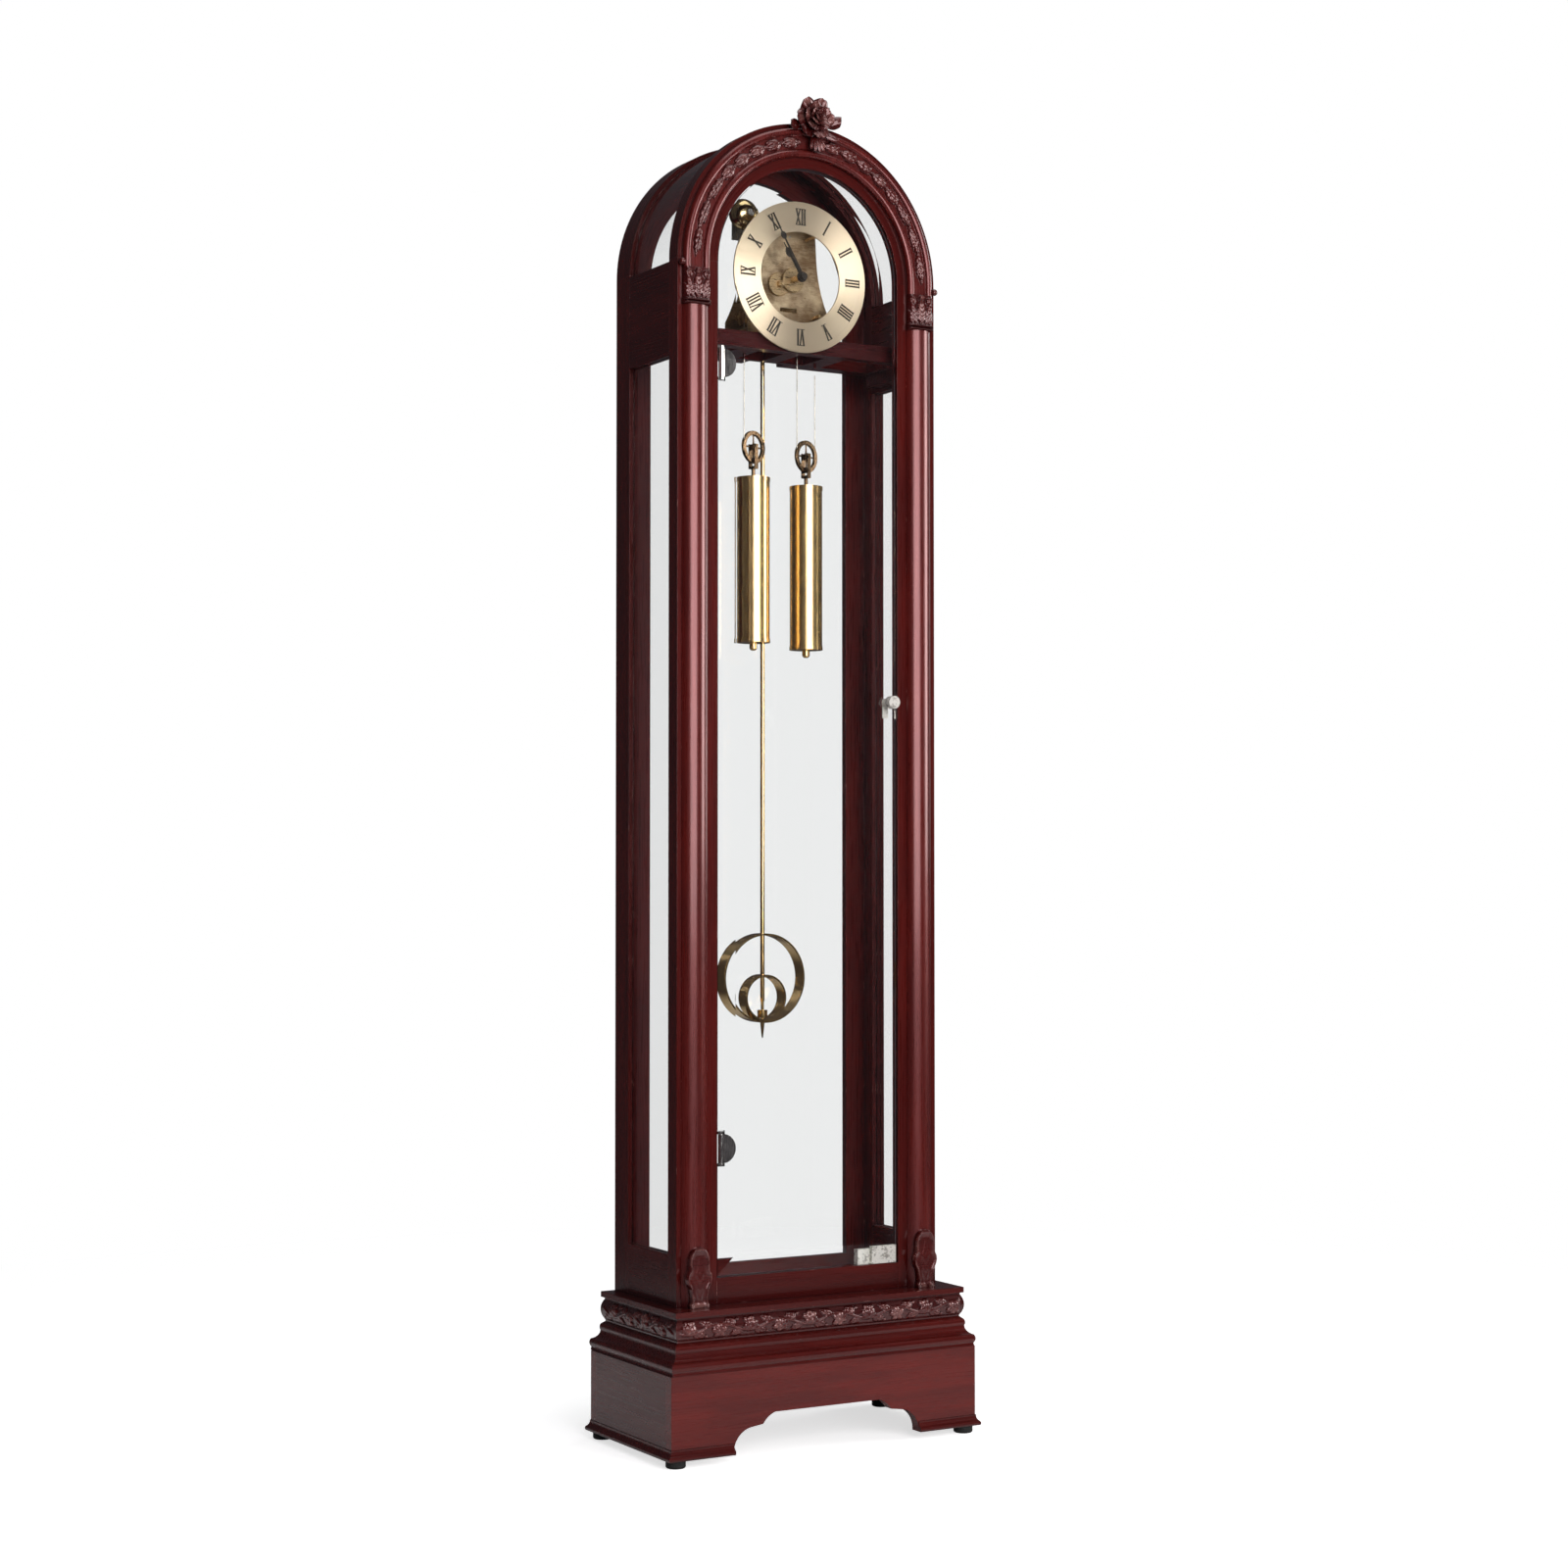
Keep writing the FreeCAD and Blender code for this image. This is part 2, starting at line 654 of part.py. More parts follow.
def build_plates():
    plate = prism_y(plate_outline(), PLATE_FRONT, PLATE_INNER)
    pivots = (SECOND, THIRD, ESCAPE, ANCHOR, HAMMER)
    for x, z in pivots:
        plate = plate.cut(disc_y(PIVOT_R + FIT, x, z, PLATE_FRONT - 1, PLATE_INNER + 1))
    back = plate.copy()
    back.translate(V(0, PLATE_BACK - PLATE_FRONT, 0))
    for x, z in (DRUM, STRIKE_DRUM, CENTRE):
        back = back.cut(disc_y(PIVOT_R + FIT, x, z, PLATE_BACK - 1, PLATE_REAR + 1))
    front = plate
    for x, z in (DRUM, STRIKE_DRUM):
        front = front.cut(disc_y(WINDING_R + FIT, x, z, PLATE_FRONT - 1, PLATE_INNER + 1))
    front = front.cut(disc_y(CENTRE_ARBOR_R + FIT, 0, DIAL_Z, PLATE_FRONT - 1, PLATE_INNER + 1))
    front = front.cut(box(-18, 12, PLATE_FRONT - 1, PLATE_INNER + 1, 1750, 1757))
    save("front_plate", front)
    save("back_plate", back)

    posts = []
    for x, z in PILLARS:
        posts.append(disc_y(4.0, x, z, PLATE_INNER, PLATE_BACK))
    for x, z in DIAL_POSTS:
        posts.append(disc_y(3.0, x, z, DIAL_FRONT + DIAL_T, PLATE_FRONT))
    posts.append(disc_y(2.0, MINUTE[0], MINUTE[1], -33.0, PLATE_FRONT))
    save("plate_pillars", *posts)


def build_train():
    x, z = DRUM
    drum_y0 = 1.0
    drum_y1 = 39.0
    barrel = disc_y(DRUM_R, x, z, drum_y0, drum_y1)
    flanges = [disc_y(DRUM_R + 4, x, z, drum_y0, drum_y0 + 2), disc_y(DRUM_R + 4, x, z, drum_y1 - 2, drum_y1)]
    shaft = disc_y(WINDING_R, x, z, PLATE_FRONT - 8, PLATE_BACK - 0.4)
    square = box(x - 2.4, x + 2.4, PLATE_FRONT - 20, PLATE_FRONT - 8, z - 2.4, z + 2.4)
    pivot = disc_y(PIVOT_R, x, z, PLATE_BACK - 1, PLATE_REAR + 0.3)
    drum = barrel.fuse(flanges + [shaft, square, pivot]).removeSplitter()
    save("going_drum", drum)

    strike_wheel = gear(GREAT_TEETH, GREAT_MODULE, STRIKE_DRUM, 0.0, -7, -4)
    strike_wheel = strike_wheel.cut(disc_y(WINDING_R, -x, z, -8, -3))
    save("strike_drum", mirrored(drum), strike_wheel)

    great = gear(GREAT_TEETH, GREAT_MODULE, DRUM, 0.0, -7, -4)
    save("great_wheel", great.cut(disc_y(WINDING_R + FIT, x, z, -8, -3)))

    phase = mesh_phase(DRUM, SECOND, GREAT_TEETH, SECOND_PINION, 0.0)
    pinion = gear(SECOND_PINION, GREAT_MODULE, SECOND, phase, -8, -3)
    wheel = spoked(gear(SECOND_TEETH, SECOND_MODULE, SECOND, 0.0, -12.5, -10), SECOND, 23, 7, 2, -12.5, -10)
    save("second_wheel", arbor(SECOND, 2.0).fuse([pinion, wheel]))

    phase = mesh_phase(SECOND, CENTRE, SECOND_TEETH, CENTRE_PINION, 0.0)
    pinion = gear(CENTRE_PINION, SECOND_MODULE, CENTRE, phase, -13.5, -9)
    wheel = spoked(gear(CENTRE_TEETH, FINE_MODULE, CENTRE, 0.0, 24, 26.5), CENTRE, 23.5, 6, 2, 24, 26.5)
    shaft = disc_y(CENTRE_ARBOR_R, 0, DIAL_Z, PLATE_FRONT - 1.2, PLATE_BACK - 0.4)
    pivot = disc_y(PIVOT_R, 0, DIAL_Z, PLATE_BACK - 1, PLATE_REAR + 0.3)
    pipe = disc_y(CANNON_R, 0, DIAL_Z, -59.5, PLATE_FRONT - 1.2)
    cannon = gear(CANNON_TEETH, MINUTE_MODULE, CENTRE, 0.0, -23, -18.5)
    save("centre_wheel", shaft.fuse([pivot, pipe, cannon, pinion, wheel]))

    phase = mesh_phase(CENTRE, THIRD, CENTRE_TEETH, LEAVES, 0.0)
    pinion = gear(LEAVES, FINE_MODULE, THIRD, phase, 22, 29)
    wheel = spoked(gear(THIRD_TEETH, FINE_MODULE, THIRD, 0.0, 10, 12), THIRD, 22, 5, 1.8, 10, 12)
    save("third_wheel", arbor(THIRD, 1.8).fuse([pinion, wheel]))

    phase = mesh_phase(THIRD, ESCAPE, THIRD_TEETH, LEAVES, 0.0)
    pinion = gear(LEAVES, FINE_MODULE, ESCAPE, phase, 8, 14)
    save("escape_wheel", arbor(ESCAPE, 1.8).fuse([pinion, escape_wheel()]))


def escape_wheel():
    """Pointed, undercut teeth."""
    steps = []
    pitch = 2 * math.pi / ESCAPE_TEETH
    for tooth in range(ESCAPE_TEETH):
        base = tooth * pitch
        for radius, share in ((ESCAPE_R - 3, 0.0), (ESCAPE_R, 0.25), (ESCAPE_R, 0.32), (ESCAPE_R - 3, 0.6)):
            angle = base + share * pitch
            steps.append((radius * math.cos(angle), ESCAPE[1] + radius * math.sin(angle)))
    return spoked(prism_y(steps, 32, 33.5), ESCAPE, 9, 4, 1.2, 32, 33.5)


def build_anchor():
    """Anchor with its two pallets, the arbor, and the crutch that reaches the pendulum rod."""
    z = ANCHOR[1]
    lift_off = 1.4
    tip = ESCAPE_R + lift_off
    lean = math.radians(40.0)
    px = tip * math.cos(lean)
    pz = ESCAPE[1] + tip * math.sin(lean)
    body = prism_y([
        (-px, pz), (-px - 3.0, pz + 1.5),
        ("arc", (-9.0, z + 0.5), (0, z + 4)),
        ("arc", (9.0, z + 0.5), (px + 3.0, pz + 1.5)),
        (px, pz),
        ("arc", (7.5, z - 3.2), (0, z - 2.5)),
        ("arc", (-7.5, z - 3.2), (-px, pz)),
    ], 31, 35)
    hub = disc_y(4.0, 0, z, 30, 36)
    tail = disc_y(PIVOT_R, 0, z, PLATE_REAR, PLATE_REAR + 7)
    crutch_low = 1790.0
    arm = box(-1.5, 1.5, PLATE_REAR + 3.5, PLATE_REAR + 6, crutch_low, z)
    boss = disc_y(3.5, 0, z, PLATE_REAR + 2.5, PLATE_REAR + 7)
    bridge = box(-7, 7, PLATE_REAR + 3.5, PLATE_REAR + 6, crutch_low - 4, crutch_low)
    fork = []
    for side in (-1, 1):
        x = side * (ROD_R + 0.4 + 1.2)
        fork.append(rod(1.2, (x, PLATE_REAR + 5, crutch_low - 2), (x, PENDULUM_Y + 5, crutch_low - 2)))
    save("anchor", arbor(ANCHOR, 1.8).fuse([body, hub, tail, arm, boss, bridge] + fork))


def build_motion_work():
    phase = mesh_phase(CENTRE, MINUTE, CANNON_TEETH, MINUTE_TEETH, 0.0)
    wheel = gear(MINUTE_TEETH, MINUTE_MODULE, MINUTE, phase, -22.5, -20)
    pinion = gear(MINUTE_PINION, HOUR_MODULE, MINUTE, 0.0, -30, -22.5)
    bore = disc_y(2.0 + FIT, MINUTE[0], MINUTE[1], -31, -19)
    save("minute_wheel", wheel.fuse(pinion).cut(bore))

    phase = mesh_phase(MINUTE, CENTRE, MINUTE_PINION, HOUR_TEETH, 0.0)
    wheel = gear(HOUR_TEETH, HOUR_MODULE, CENTRE, phase, -28.5, -26)
    pipe = disc_y(HOUR_PIPE_R, 0, DIAL_Z, -55, -26)
    bore = disc_y(CANNON_R + FIT, 0, DIAL_Z, -56, -25)
    save("hour_wheel", wheel.fuse(pipe).cut(bore))


# ---------------------------------------------------------------- dial, hands
def stroke(x0, x1, half_w, height):
    """One slanted stroke of a numeral, from (x0, bottom) to (x1, top)."""
    h = height / 2
    return [(x0 - half_w, -h), (x0 + half_w, -h), (x1 + half_w, h), (x1 - half_w, h)]


def numeral(text):
    """Roman numeral as one solid at the origin, upright in X-Z."""
    widths = {"I": 4.6, "V": 10.0, "X": 10.0}
    half_w = {"I": 1.4, "V": 1.1, "X": 1.1}
    height = 25.0
    total = sum(widths[letter] for letter in text)
    x = -total / 2
    strokes = []
    for letter in text:
        mid = x + widths[letter] / 2
        lean = widths[letter] / 2 - 1.6
        w = half_w[letter]
        if letter == "I":
            strokes.append(stroke(mid, mid, w, height))
        if letter == "V":
            strokes.append(stroke(mid, mid - lean, w * 1.3, height))
            strokes.append(stroke(mid, mid + lean, w, height))
        if letter == "X":
            strokes.append(stroke(mid + lean, mid - lean, w * 1.3, height))
            strokes.append(stroke(mid - lean, mid + lean, w, height))
        x += widths[letter]
    y1 = DIAL_FRONT
    y0 = y1 - 0.5
    serif = 1.1
    bars = []
    for s in (-1, 1):
        low = (s * height - serif) / 2
        bars.append(box(-total / 2 + 0.4, total / 2 - 0.4, y0, y1, low, low + serif))
    solids = [prism_y(outline, y0, y1) for outline in strokes]
    return solids[0].fuse(solids[1:] + bars).removeSplitter()


def build_dial():
    ring = ring_y(DIAL_R, DIAL_HOLE_R, 0, DIAL_Z, DIAL_FRONT, DIAL_FRONT + DIAL_T)
    save("dial_ring", ring)
    names = ["XII", "I", "II", "III", "IIII", "V", "VI", "VII", "VIII", "IX", "X", "XI"]
    numerals = []
    for hour, text in enumerate(names):
        figure = numeral(text)
        figure.translate(V(0, 0, DIAL_Z + (DIAL_R + DIAL_HOLE_R) / 2))
        figure.rotate(V(0, 0, DIAL_Z), V(0, 1, 0), 30.0 * hour)
        numerals.append(figure)
    save("dial_numerals", *numerals)


def hand(length, root_w, spade_at, spade_w, hub_r, bore_r, y0, y1, angle):
    """Slender hand with a spade near its tip, pointing up before it is turned."""
    z = DIAL_Z
    blade = prism_y([
        (-root_w, z), (root_w, z), (root_w * 0.6, z + spade_at - spade_w),
        ("arc", (spade_w, z + spade_at), (0.8, z + spade_at + 2 * spade_w)),
        (0.5, z + length), (-0.5, z + length), (-0.8, z + spade_at + 2 * spade_w),
        ("arc", (-spade_w, z + spade_at), (-root_w * 0.6, z + spade_at - spade_w)),
    ], y0, y1)
    shape = blade.fuse(disc_y(hub_r, 0, z, y0, y1)).cut(disc_y(bore_r, 0, z, y0 - 1, y1 + 1))
    shape.rotate(V(0, 0, z), V(0, 1, 0), angle)
    return shape


def build_hands():
    save("hour_hand", hand(60, 2.4, 40, 5.5, 8.5, HOUR_PIPE_R, -54.4, -53.2, HOUR_ANGLE))
    minute = hand(92, 2.0, 68, 4.2, 7.0, CANNON_R, -58.6, -57.4, MINUTE_ANGLE)
    save("minute_hand", minute, disc_y(5.0, 0, DIAL_Z, -62.5, -59.5))


# ---------------------------------------------------------------- striking side
def build_bell():
    x, z = BELL
    front = 8.0
    profile = [
        (2.5, front), ("arc", (17.5, front + 5.5), (BELL_R, front + 20)),
        (BELL_R - 1.5, front + 20), ("arc", (16.4, front + 6.9), (2.5, front + 1.8)),
    ]
    face = Part.Face(wire(lift(profile, lambda r, y: (x + r, y, z))))
    save("bell", face.revolve(V(x, 0, z), V(0, 1, 0), 360))
    strap = box(x - 6, -38, PLATE_REAR, PLATE_REAR + 2.5, 1870, z + 6)
    post = disc_y(2.5, x, z, front - 4, PLATE_REAR + 2.5)
    nut = disc_y(4.5, x, z, front - 4, front - 0.05)
    cock = box(-9, 9, PLATE_REAR, PENDULUM_Y + 7, ANCHOR[1] - 6, ANCHOR[1] + 12)
    cock = cock.cut(box(-1, 1, PENDULUM_Y - 7, PENDULUM_Y + 8, ANCHOR[1] - 7, ANCHOR[1] + 13))
    cock = cock.cut(box(-5, 5, PLATE_REAR - 1, PENDULUM_Y - 9, ANCHOR[1] - 7, ANCHOR[1] + 6))
    save("rear_brackets", strap.fuse([post, nut]).removeSplitter(), cock)

    hx, hz = HAMMER
    arm = box(hx - 1.5, hx + 1.5, 19, 22, hz, z)
    head = rod(5.0, (hx - 8.2, 20.5, z), (hx + 5, 20.5, z))
    collar = disc_y(4.0, hx, hz, 17, 24)
    save("hammer", arbor(HAMMER, 1.8).fuse([arm, head, collar]).removeSplitter())


# ---------------------------------------------------------------- pendulum
def build_pendulum():
    y = PENDULUM_Y
    pivot = ANCHOR[1]
    nut_z = 644.0
    block_top = pivot - 14
    ring_low = BOB_Z - BOB_R
    strip = box(-0.2, 0.2, y - 5, y + 5, block_top - 8, pivot + 6)
    save("suspension_spring", strip)
    block = box(-4, 4, y - 6, y + 6, block_top - 14, block_top)
    block = block.cut(strip)
    shaft = rod(ROD_R, (0, y, 670), (0, y, block_top - 14))
    thread = rod(2.5, (0, y, ring_low), (0, y, 670))
    tip = Part.makeCone(1.0, 3.6, 24, V(0, y, ring_low - 24), V(0, 0, 1))
    pendulum = block.fuse([shaft, thread, tip]).removeSplitter()
    save("pendulum_rod", pendulum)

    half = BAND_DEPTH / 2
    big = ring_y(BOB_R, BOB_R - BAND_T, 0, BOB_Z, y - half, y + half)
    small_z = ring_low + BAND_T + INNER_RING_R
    small = ring_y(INNER_RING_R, INNER_RING_R - BAND_T, 0, small_z, y - half, y + half)
    save("bob_rings", big.cut(pendulum), small.cut(pendulum).cut(big))

    nut = rod(8.0, (0, y, nut_z), (0, y, nut_z + 12)).cut(rod(2.5 + FIT, (0, y, 600), (0, y, 700)))
    save("rating_nut", nut)


# ---------------------------------------------------------------- weights, pulleys, cables
def weight_profile(top):
    low = top - WEIGHT_L
    cap = WEIGHT_R + 0.8
    return [
        (0, low - 12), (3.5, low - 12), (6, low - 9), (6, low),
        (cap, low), (cap, low + 6), (WEIGHT_R, low + 6),
        (WEIGHT_R, top - 6), (cap, top - 6), (cap, top), (0, top),
    ]


def turned_to_pulley(shape, centre):
    shape.rotate(centre, V(0, 0, 1), PULLEY_TURN)
    return shape


def cable_point(side, away, z):
    """Where the cable hangs on one side of its pulley; away is 1 on the side far from the middle."""
    turn = math.radians(PULLEY_TURN)
    reach = side * away * CABLE_BEND_R
    return V(side * WEIGHT_X + reach * math.cos(turn), WEIGHT_Y + reach * math.sin(turn), z)


def build_weight(side, name):
    top = WEIGHT_TOP[side]
    x = side * WEIGHT_X
    y = WEIGHT_Y
    axle_z = top + PULLEY_ABOVE
    centre = V(x, y, axle_z)
    strap_y = 6.0
    body = turned(weight_profile(top), x, y)
    straps = []
    for s in (-1, 1):
        inner = y + s * (strap_y - 0.75)
        outer = y + s * (strap_y + 0.75)
        straps.append(box(x - 4, x + 4, min(inner, outer), max(inner, outer), axle_z - 31, axle_z + 5))
    bridge = box(x - 4, x + 4, y - strap_y - 0.75, y + strap_y + 0.75, axle_z - 34, axle_z - 30)
    axle = disc_y(2.0, x, axle_z, y - strap_y - 2, y + strap_y + 2)
    stem = rod(3.0, (x, y, top), (x, y, axle_z - 33))
    stirrup = turned_to_pulley(bridge.fuse(straps + [axle, stem]).removeSplitter(), centre)
    save("weight_" + name, body, stirrup)

    half = 4.0
    floor_r = CABLE_BEND_R - CABLE_R - 0.4
    section = [
        (17.5, -half), (PULLEY_R, -half), (PULLEY_R, -half + 1.2),
        (floor_r, -1.3), (floor_r, 1.3),
        (PULLEY_R, half - 1.2), (PULLEY_R, half), (17.5, half),
    ]
    face = Part.Face(wire(lift(section, lambda r, d: (x + r, y + d, axle_z))))
    rim = face.revolve(V(x, y, axle_z), V(0, 1, 0), 360)
    hub = disc_y(5.0, x, axle_z, y - half, y + half)
    arms = []
    for turn in (0, 90):
        arm = box(x - 18.5, x + 18.5, y - 1.8, y + 1.8, axle_z - 2.2, axle_z + 2.2)
        arm.rotate(centre, V(0, 1, 0), turn)
        arms.append(arm)
    wheel = rim.fuse([hub] + arms).cut(disc_y(2.0 + FIT, x, axle_z, y - 9, y + 9))
    save("pulley_" + name, turned_to_pulley(wheel, centre))

    drum_side = cable_point(side, -1, axle_z)
    fixed_side = cable_point(side, 1, axle_z)
    low = V(x, y, axle_z - CABLE_BEND_R)
    drum_end = cable_point(side, -1, DRUM_Z)
    fixed_end = cable_point(side, 1, SEAT_Z - FERRULE_H)
    path = Part.Wire([
        Part.LineSegment(drum_end, drum_side).toShape(),
        Part.Arc(drum_side, low, fixed_side).toShape(),
        Part.LineSegment(fixed_side, fixed_end).toShape(),
    ])
    start = Part.Wire([Part.Circle(drum_end, V(0, 0, 1), CABLE_R).toShape()])
    save("cable_" + name, path.makePipeShell([start], True, False))


# ---------------------------------------------------------------- door
def bevelled_pane():
    half = DOORWAY_HALF_W - DOOR_GAP
    sill = DOORWAY_SILL + DOOR_GAP
    rear = DOOR_FRONT + DOOR_T
    pane = arched_pane(half, sill, DOOR_FRONT + BEVEL_DEPTH, rear)
    inner = wire(lift([
        (-half + BEVEL_W, sill + BEVEL_W), (half - BEVEL_W, sill + BEVEL_W),
        (half - BEVEL_W, SPRING_Z),
        ("arc", (0, SPRING_Z + half - BEVEL_W), (-half + BEVEL_W, SPRING_Z)),
    ], lambda x, z: (x, DOOR_FRONT, z)))
    outer = wire(lift([
        (-half, sill), (half, sill), (half, SPRING_Z),
        ("arc", (0, SPRING_Z + half), (-half, SPRING_Z)),
    ], lambda x, z: (x, DOOR_FRONT + BEVEL_DEPTH, z)))
    bevel = Part.makeLoft([inner, outer], True, True)
    return pane.fuse(bevel).removeSplitter()


def build_door():
    rear = DOOR_FRONT + DOOR_T
    pane = bevelled_pane()
    notch_half = 27.0
    notch_x = HINGE_X + 7.0
    clamps = []
    brackets = []
    for z in HINGE_Z:
        pane = pane.cut(box(-170, notch_x, DOOR_FRONT - 1, rear + 1, z - notch_half, z + notch_half))
        clamp_half = 21.5
        knuckle = rod(4.8, (HINGE_X, HINGE_Y, z - clamp_half), (HINGE_X, HINGE_Y, z + clamp_half))
        web = box(HINGE_X, notch_x, DOOR_FRONT - 3, rear + 3, z - clamp_half, z + clamp_half)
        cheek = [
            (HINGE_X, z - clamp_half), (HINGE_X + 7, z - clamp_half),
            ("arc", (HINGE_X + 24, z), (HINGE_X + 7, z + clamp_half)),
            (HINGE_X, z + clamp_half),
        ]
        front = prism_y(cheek, DOOR_FRONT - 3, DOOR_FRONT)
        back = prism_y(cheek, rear, rear + 3)
        clamp = knuckle.fuse([web, front, back]).removeSplitter()
        pin_hole = rod(2.0 + FIT, (HINGE_X, HINGE_Y, z - 30), (HINGE_X, HINGE_Y, z + 30))
        clamps.append(clamp.cut(pin_hole).cut(pane))
        leaf = box(-DOORWAY_HALF_W, -DOORWAY_HALF_W + 0.8, CASE_FRONT + 1, CASE_FRONT + 16, z - 30, z + 30)
        ears = []
        for s in (-1, 1):
            low = z + s * 24 - 2
            arm = box(-DOORWAY_HALF_W + 0.5, HINGE_X, HINGE_Y - 3.5, HINGE_Y + 4, low, low + 4)
            tip = rod(4.0, (HINGE_X, HINGE_Y, low), (HINGE_X, HINGE_Y, low + 4))
            ears += [arm, tip]
        pin = rod(2.0, (HINGE_X, HINGE_Y, z - 26), (HINGE_X, HINGE_Y, z + 26))
        brackets.append(leaf.fuse(ears + [pin]).removeSplitter())
    barrel_r = 7.0
    pane = pane.cut(disc_y(barrel_r + FIT, KNOB_X, KNOB_Z, DOOR_FRONT - 2, rear + 2))
    save("hinge_clamps", *clamps)
    save("hinge_brackets", *brackets)

    stile_back = CASE_FRONT + FRAME_T
    barrel = disc_y(barrel_r, KNOB_X, KNOB_Z, DOOR_FRONT, stile_back + 0.4)
    knob = disc_y(10.0, KNOB_X, KNOB_Z, DOOR_FRONT - 13, DOOR_FRONT - 0.4)
    neck = disc_y(6.0, KNOB_X, KNOB_Z, DOOR_FRONT - 0.5, DOOR_FRONT)
    cam = box(KNOB_X - 5, KNOB_X + 5, stile_back + 0.4, stile_back + 2.4, KNOB_Z - 24, KNOB_Z + 5)
    save("door_knob", barrel.fuse([knob, neck, cam]).removeSplitter())

    plate_x = (113.0, 157.0)
    plate_z = (DOORWAY_SILL + 1.0, DOORWAY_SILL + 28.0)
    strike = box(plate_x[0], plate_x[1], DOOR_FRONT - 2, rear + 2, plate_z[0], plate_z[1])
    save("door_strike_plate", strike.cut(pane))
    save("door_glass", pane)
    catch = box(92, 124, rear + 2.4, rear + 14, DOORWAY_SILL, DOORWAY_SILL + 24)
    save("magnet_catch", catch)


def main():
    os.makedirs("parts", exist_ok=True)
    build_plinth()
    build_foot_mouldings()
    build_plinth_top()
    build_front_frame()
    build_back_frame()
    build_sides()
    build_columns()
    build_arch_mouldings()
    build_rose()
    build_seat()
    build_plates()
    build_train()
    build_anchor()
    build_motion_work()
    build_dial()
    build_hands()
    build_bell()
    build_pendulum()
    for side, name in ((-1, "left"), (1, "right")):
        build_weight(side, name)
    build_door()


main()
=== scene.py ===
"""Longcase clock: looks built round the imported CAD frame.

Metres, in the frame's own axes: +X to the clock's right as seen from the front, +Y to the back,
+Z up. Carvings are worked out in millimetres and scaled when they are placed.
"""

import json
import math

import bmesh
import bpy
import numpy as np
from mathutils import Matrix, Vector


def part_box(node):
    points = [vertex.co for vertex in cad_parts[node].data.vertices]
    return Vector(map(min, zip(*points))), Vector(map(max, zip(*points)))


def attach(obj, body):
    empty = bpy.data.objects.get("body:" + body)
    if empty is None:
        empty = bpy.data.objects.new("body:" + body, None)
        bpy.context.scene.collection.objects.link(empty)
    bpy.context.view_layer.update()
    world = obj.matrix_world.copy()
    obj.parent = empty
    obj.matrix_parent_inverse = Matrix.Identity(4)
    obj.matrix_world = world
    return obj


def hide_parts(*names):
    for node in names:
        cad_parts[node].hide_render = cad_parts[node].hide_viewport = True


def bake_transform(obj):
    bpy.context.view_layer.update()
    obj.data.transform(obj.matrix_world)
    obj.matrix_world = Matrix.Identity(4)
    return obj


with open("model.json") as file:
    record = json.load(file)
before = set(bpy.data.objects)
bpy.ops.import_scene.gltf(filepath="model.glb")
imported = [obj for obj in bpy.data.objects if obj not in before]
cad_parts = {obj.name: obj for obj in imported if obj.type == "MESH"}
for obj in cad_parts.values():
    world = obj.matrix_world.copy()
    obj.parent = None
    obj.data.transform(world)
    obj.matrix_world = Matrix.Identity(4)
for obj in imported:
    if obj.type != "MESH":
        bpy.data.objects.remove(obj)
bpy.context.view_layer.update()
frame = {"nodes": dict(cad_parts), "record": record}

MM = 0.001

# ---------------------------------------------------------------- places taken from the frame
ARCH_LOW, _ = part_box("front_arch")
SPRING_Z = ARCH_LOW.z
CASE_FRONT = ARCH_LOW.y
_, COLUMN_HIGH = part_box("columns")
CAPITAL_LOW, CAPITAL_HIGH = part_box("capitals")
FOOT_LOW, FOOT_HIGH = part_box("foot_ornaments")
ROSE_LOW, ROSE_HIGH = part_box("crown_rose")
_, GARLAND_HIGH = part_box("arch_garland")
FRIEZE_LOW, FRIEZE_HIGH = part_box("carved_frieze")
COLUMN_W = 45 * MM
COLUMN_X = COLUMN_HIGH.x - COLUMN_W / 2


# ---------------------------------------------------------------- shader building
class Nodes:
    """A node tree, written as calls that return sockets."""

    def __init__(self, tree):
        self.tree = tree

    def set(self, node, socket, value):
        if isinstance(value, bpy.types.NodeSocket):
            self.tree.links.new(value, node.inputs[socket])
        else:
            node.inputs[socket].default_value = value

    def node(self, kind, sockets, **settings):
        node = self.tree.nodes.new(kind)
        for name, value in settings.items():
            setattr(node, name, value)
        for socket, value in sockets.items():
            self.set(node, socket, value)
        return node

    def math(self, operation, a, b=0.0, clamp=False):
        sockets = {0: a, 1: b}
        return self.node("ShaderNodeMath", sockets, operation=operation, use_clamp=clamp).outputs[0]

    def distance(self, a, b):
        squares = self.math("ADD", self.math("MULTIPLY", a, a), self.math("MULTIPLY", b, b))
        return self.math("SQRT", squares)

    def between(self, value, low, high, to_low=0.0, to_high=1.0):
        sockets = {"Value": value, "From Min": low, "From Max": high, "To Min": to_low, "To Max": to_high}
        return self.node("ShaderNodeMapRange", sockets, interpolation_type="SMOOTHSTEP").outputs[0]

    def mix(self, factor, a, b):
        node = self.node("ShaderNodeMix", {0: factor, 6: a, 7: b}, data_type="RGBA")
        return node.outputs[2]

    def ray(self):
        return self.node("ShaderNodeLightPath", {}).outputs

    def seen(self, ray):
        """1 for what the camera sees, straight or through glass; 0 for mirrored and lighting rays."""
        bounces = self.math("ADD", ray["Glossy Depth"], ray["Diffuse Depth"])
        through = self.math("MULTIPLY", ray["Is Transmission Ray"], self.math("LESS_THAN", bounces, 0.5))
        return self.math("MAXIMUM", ray["Is Camera Ray"], through)


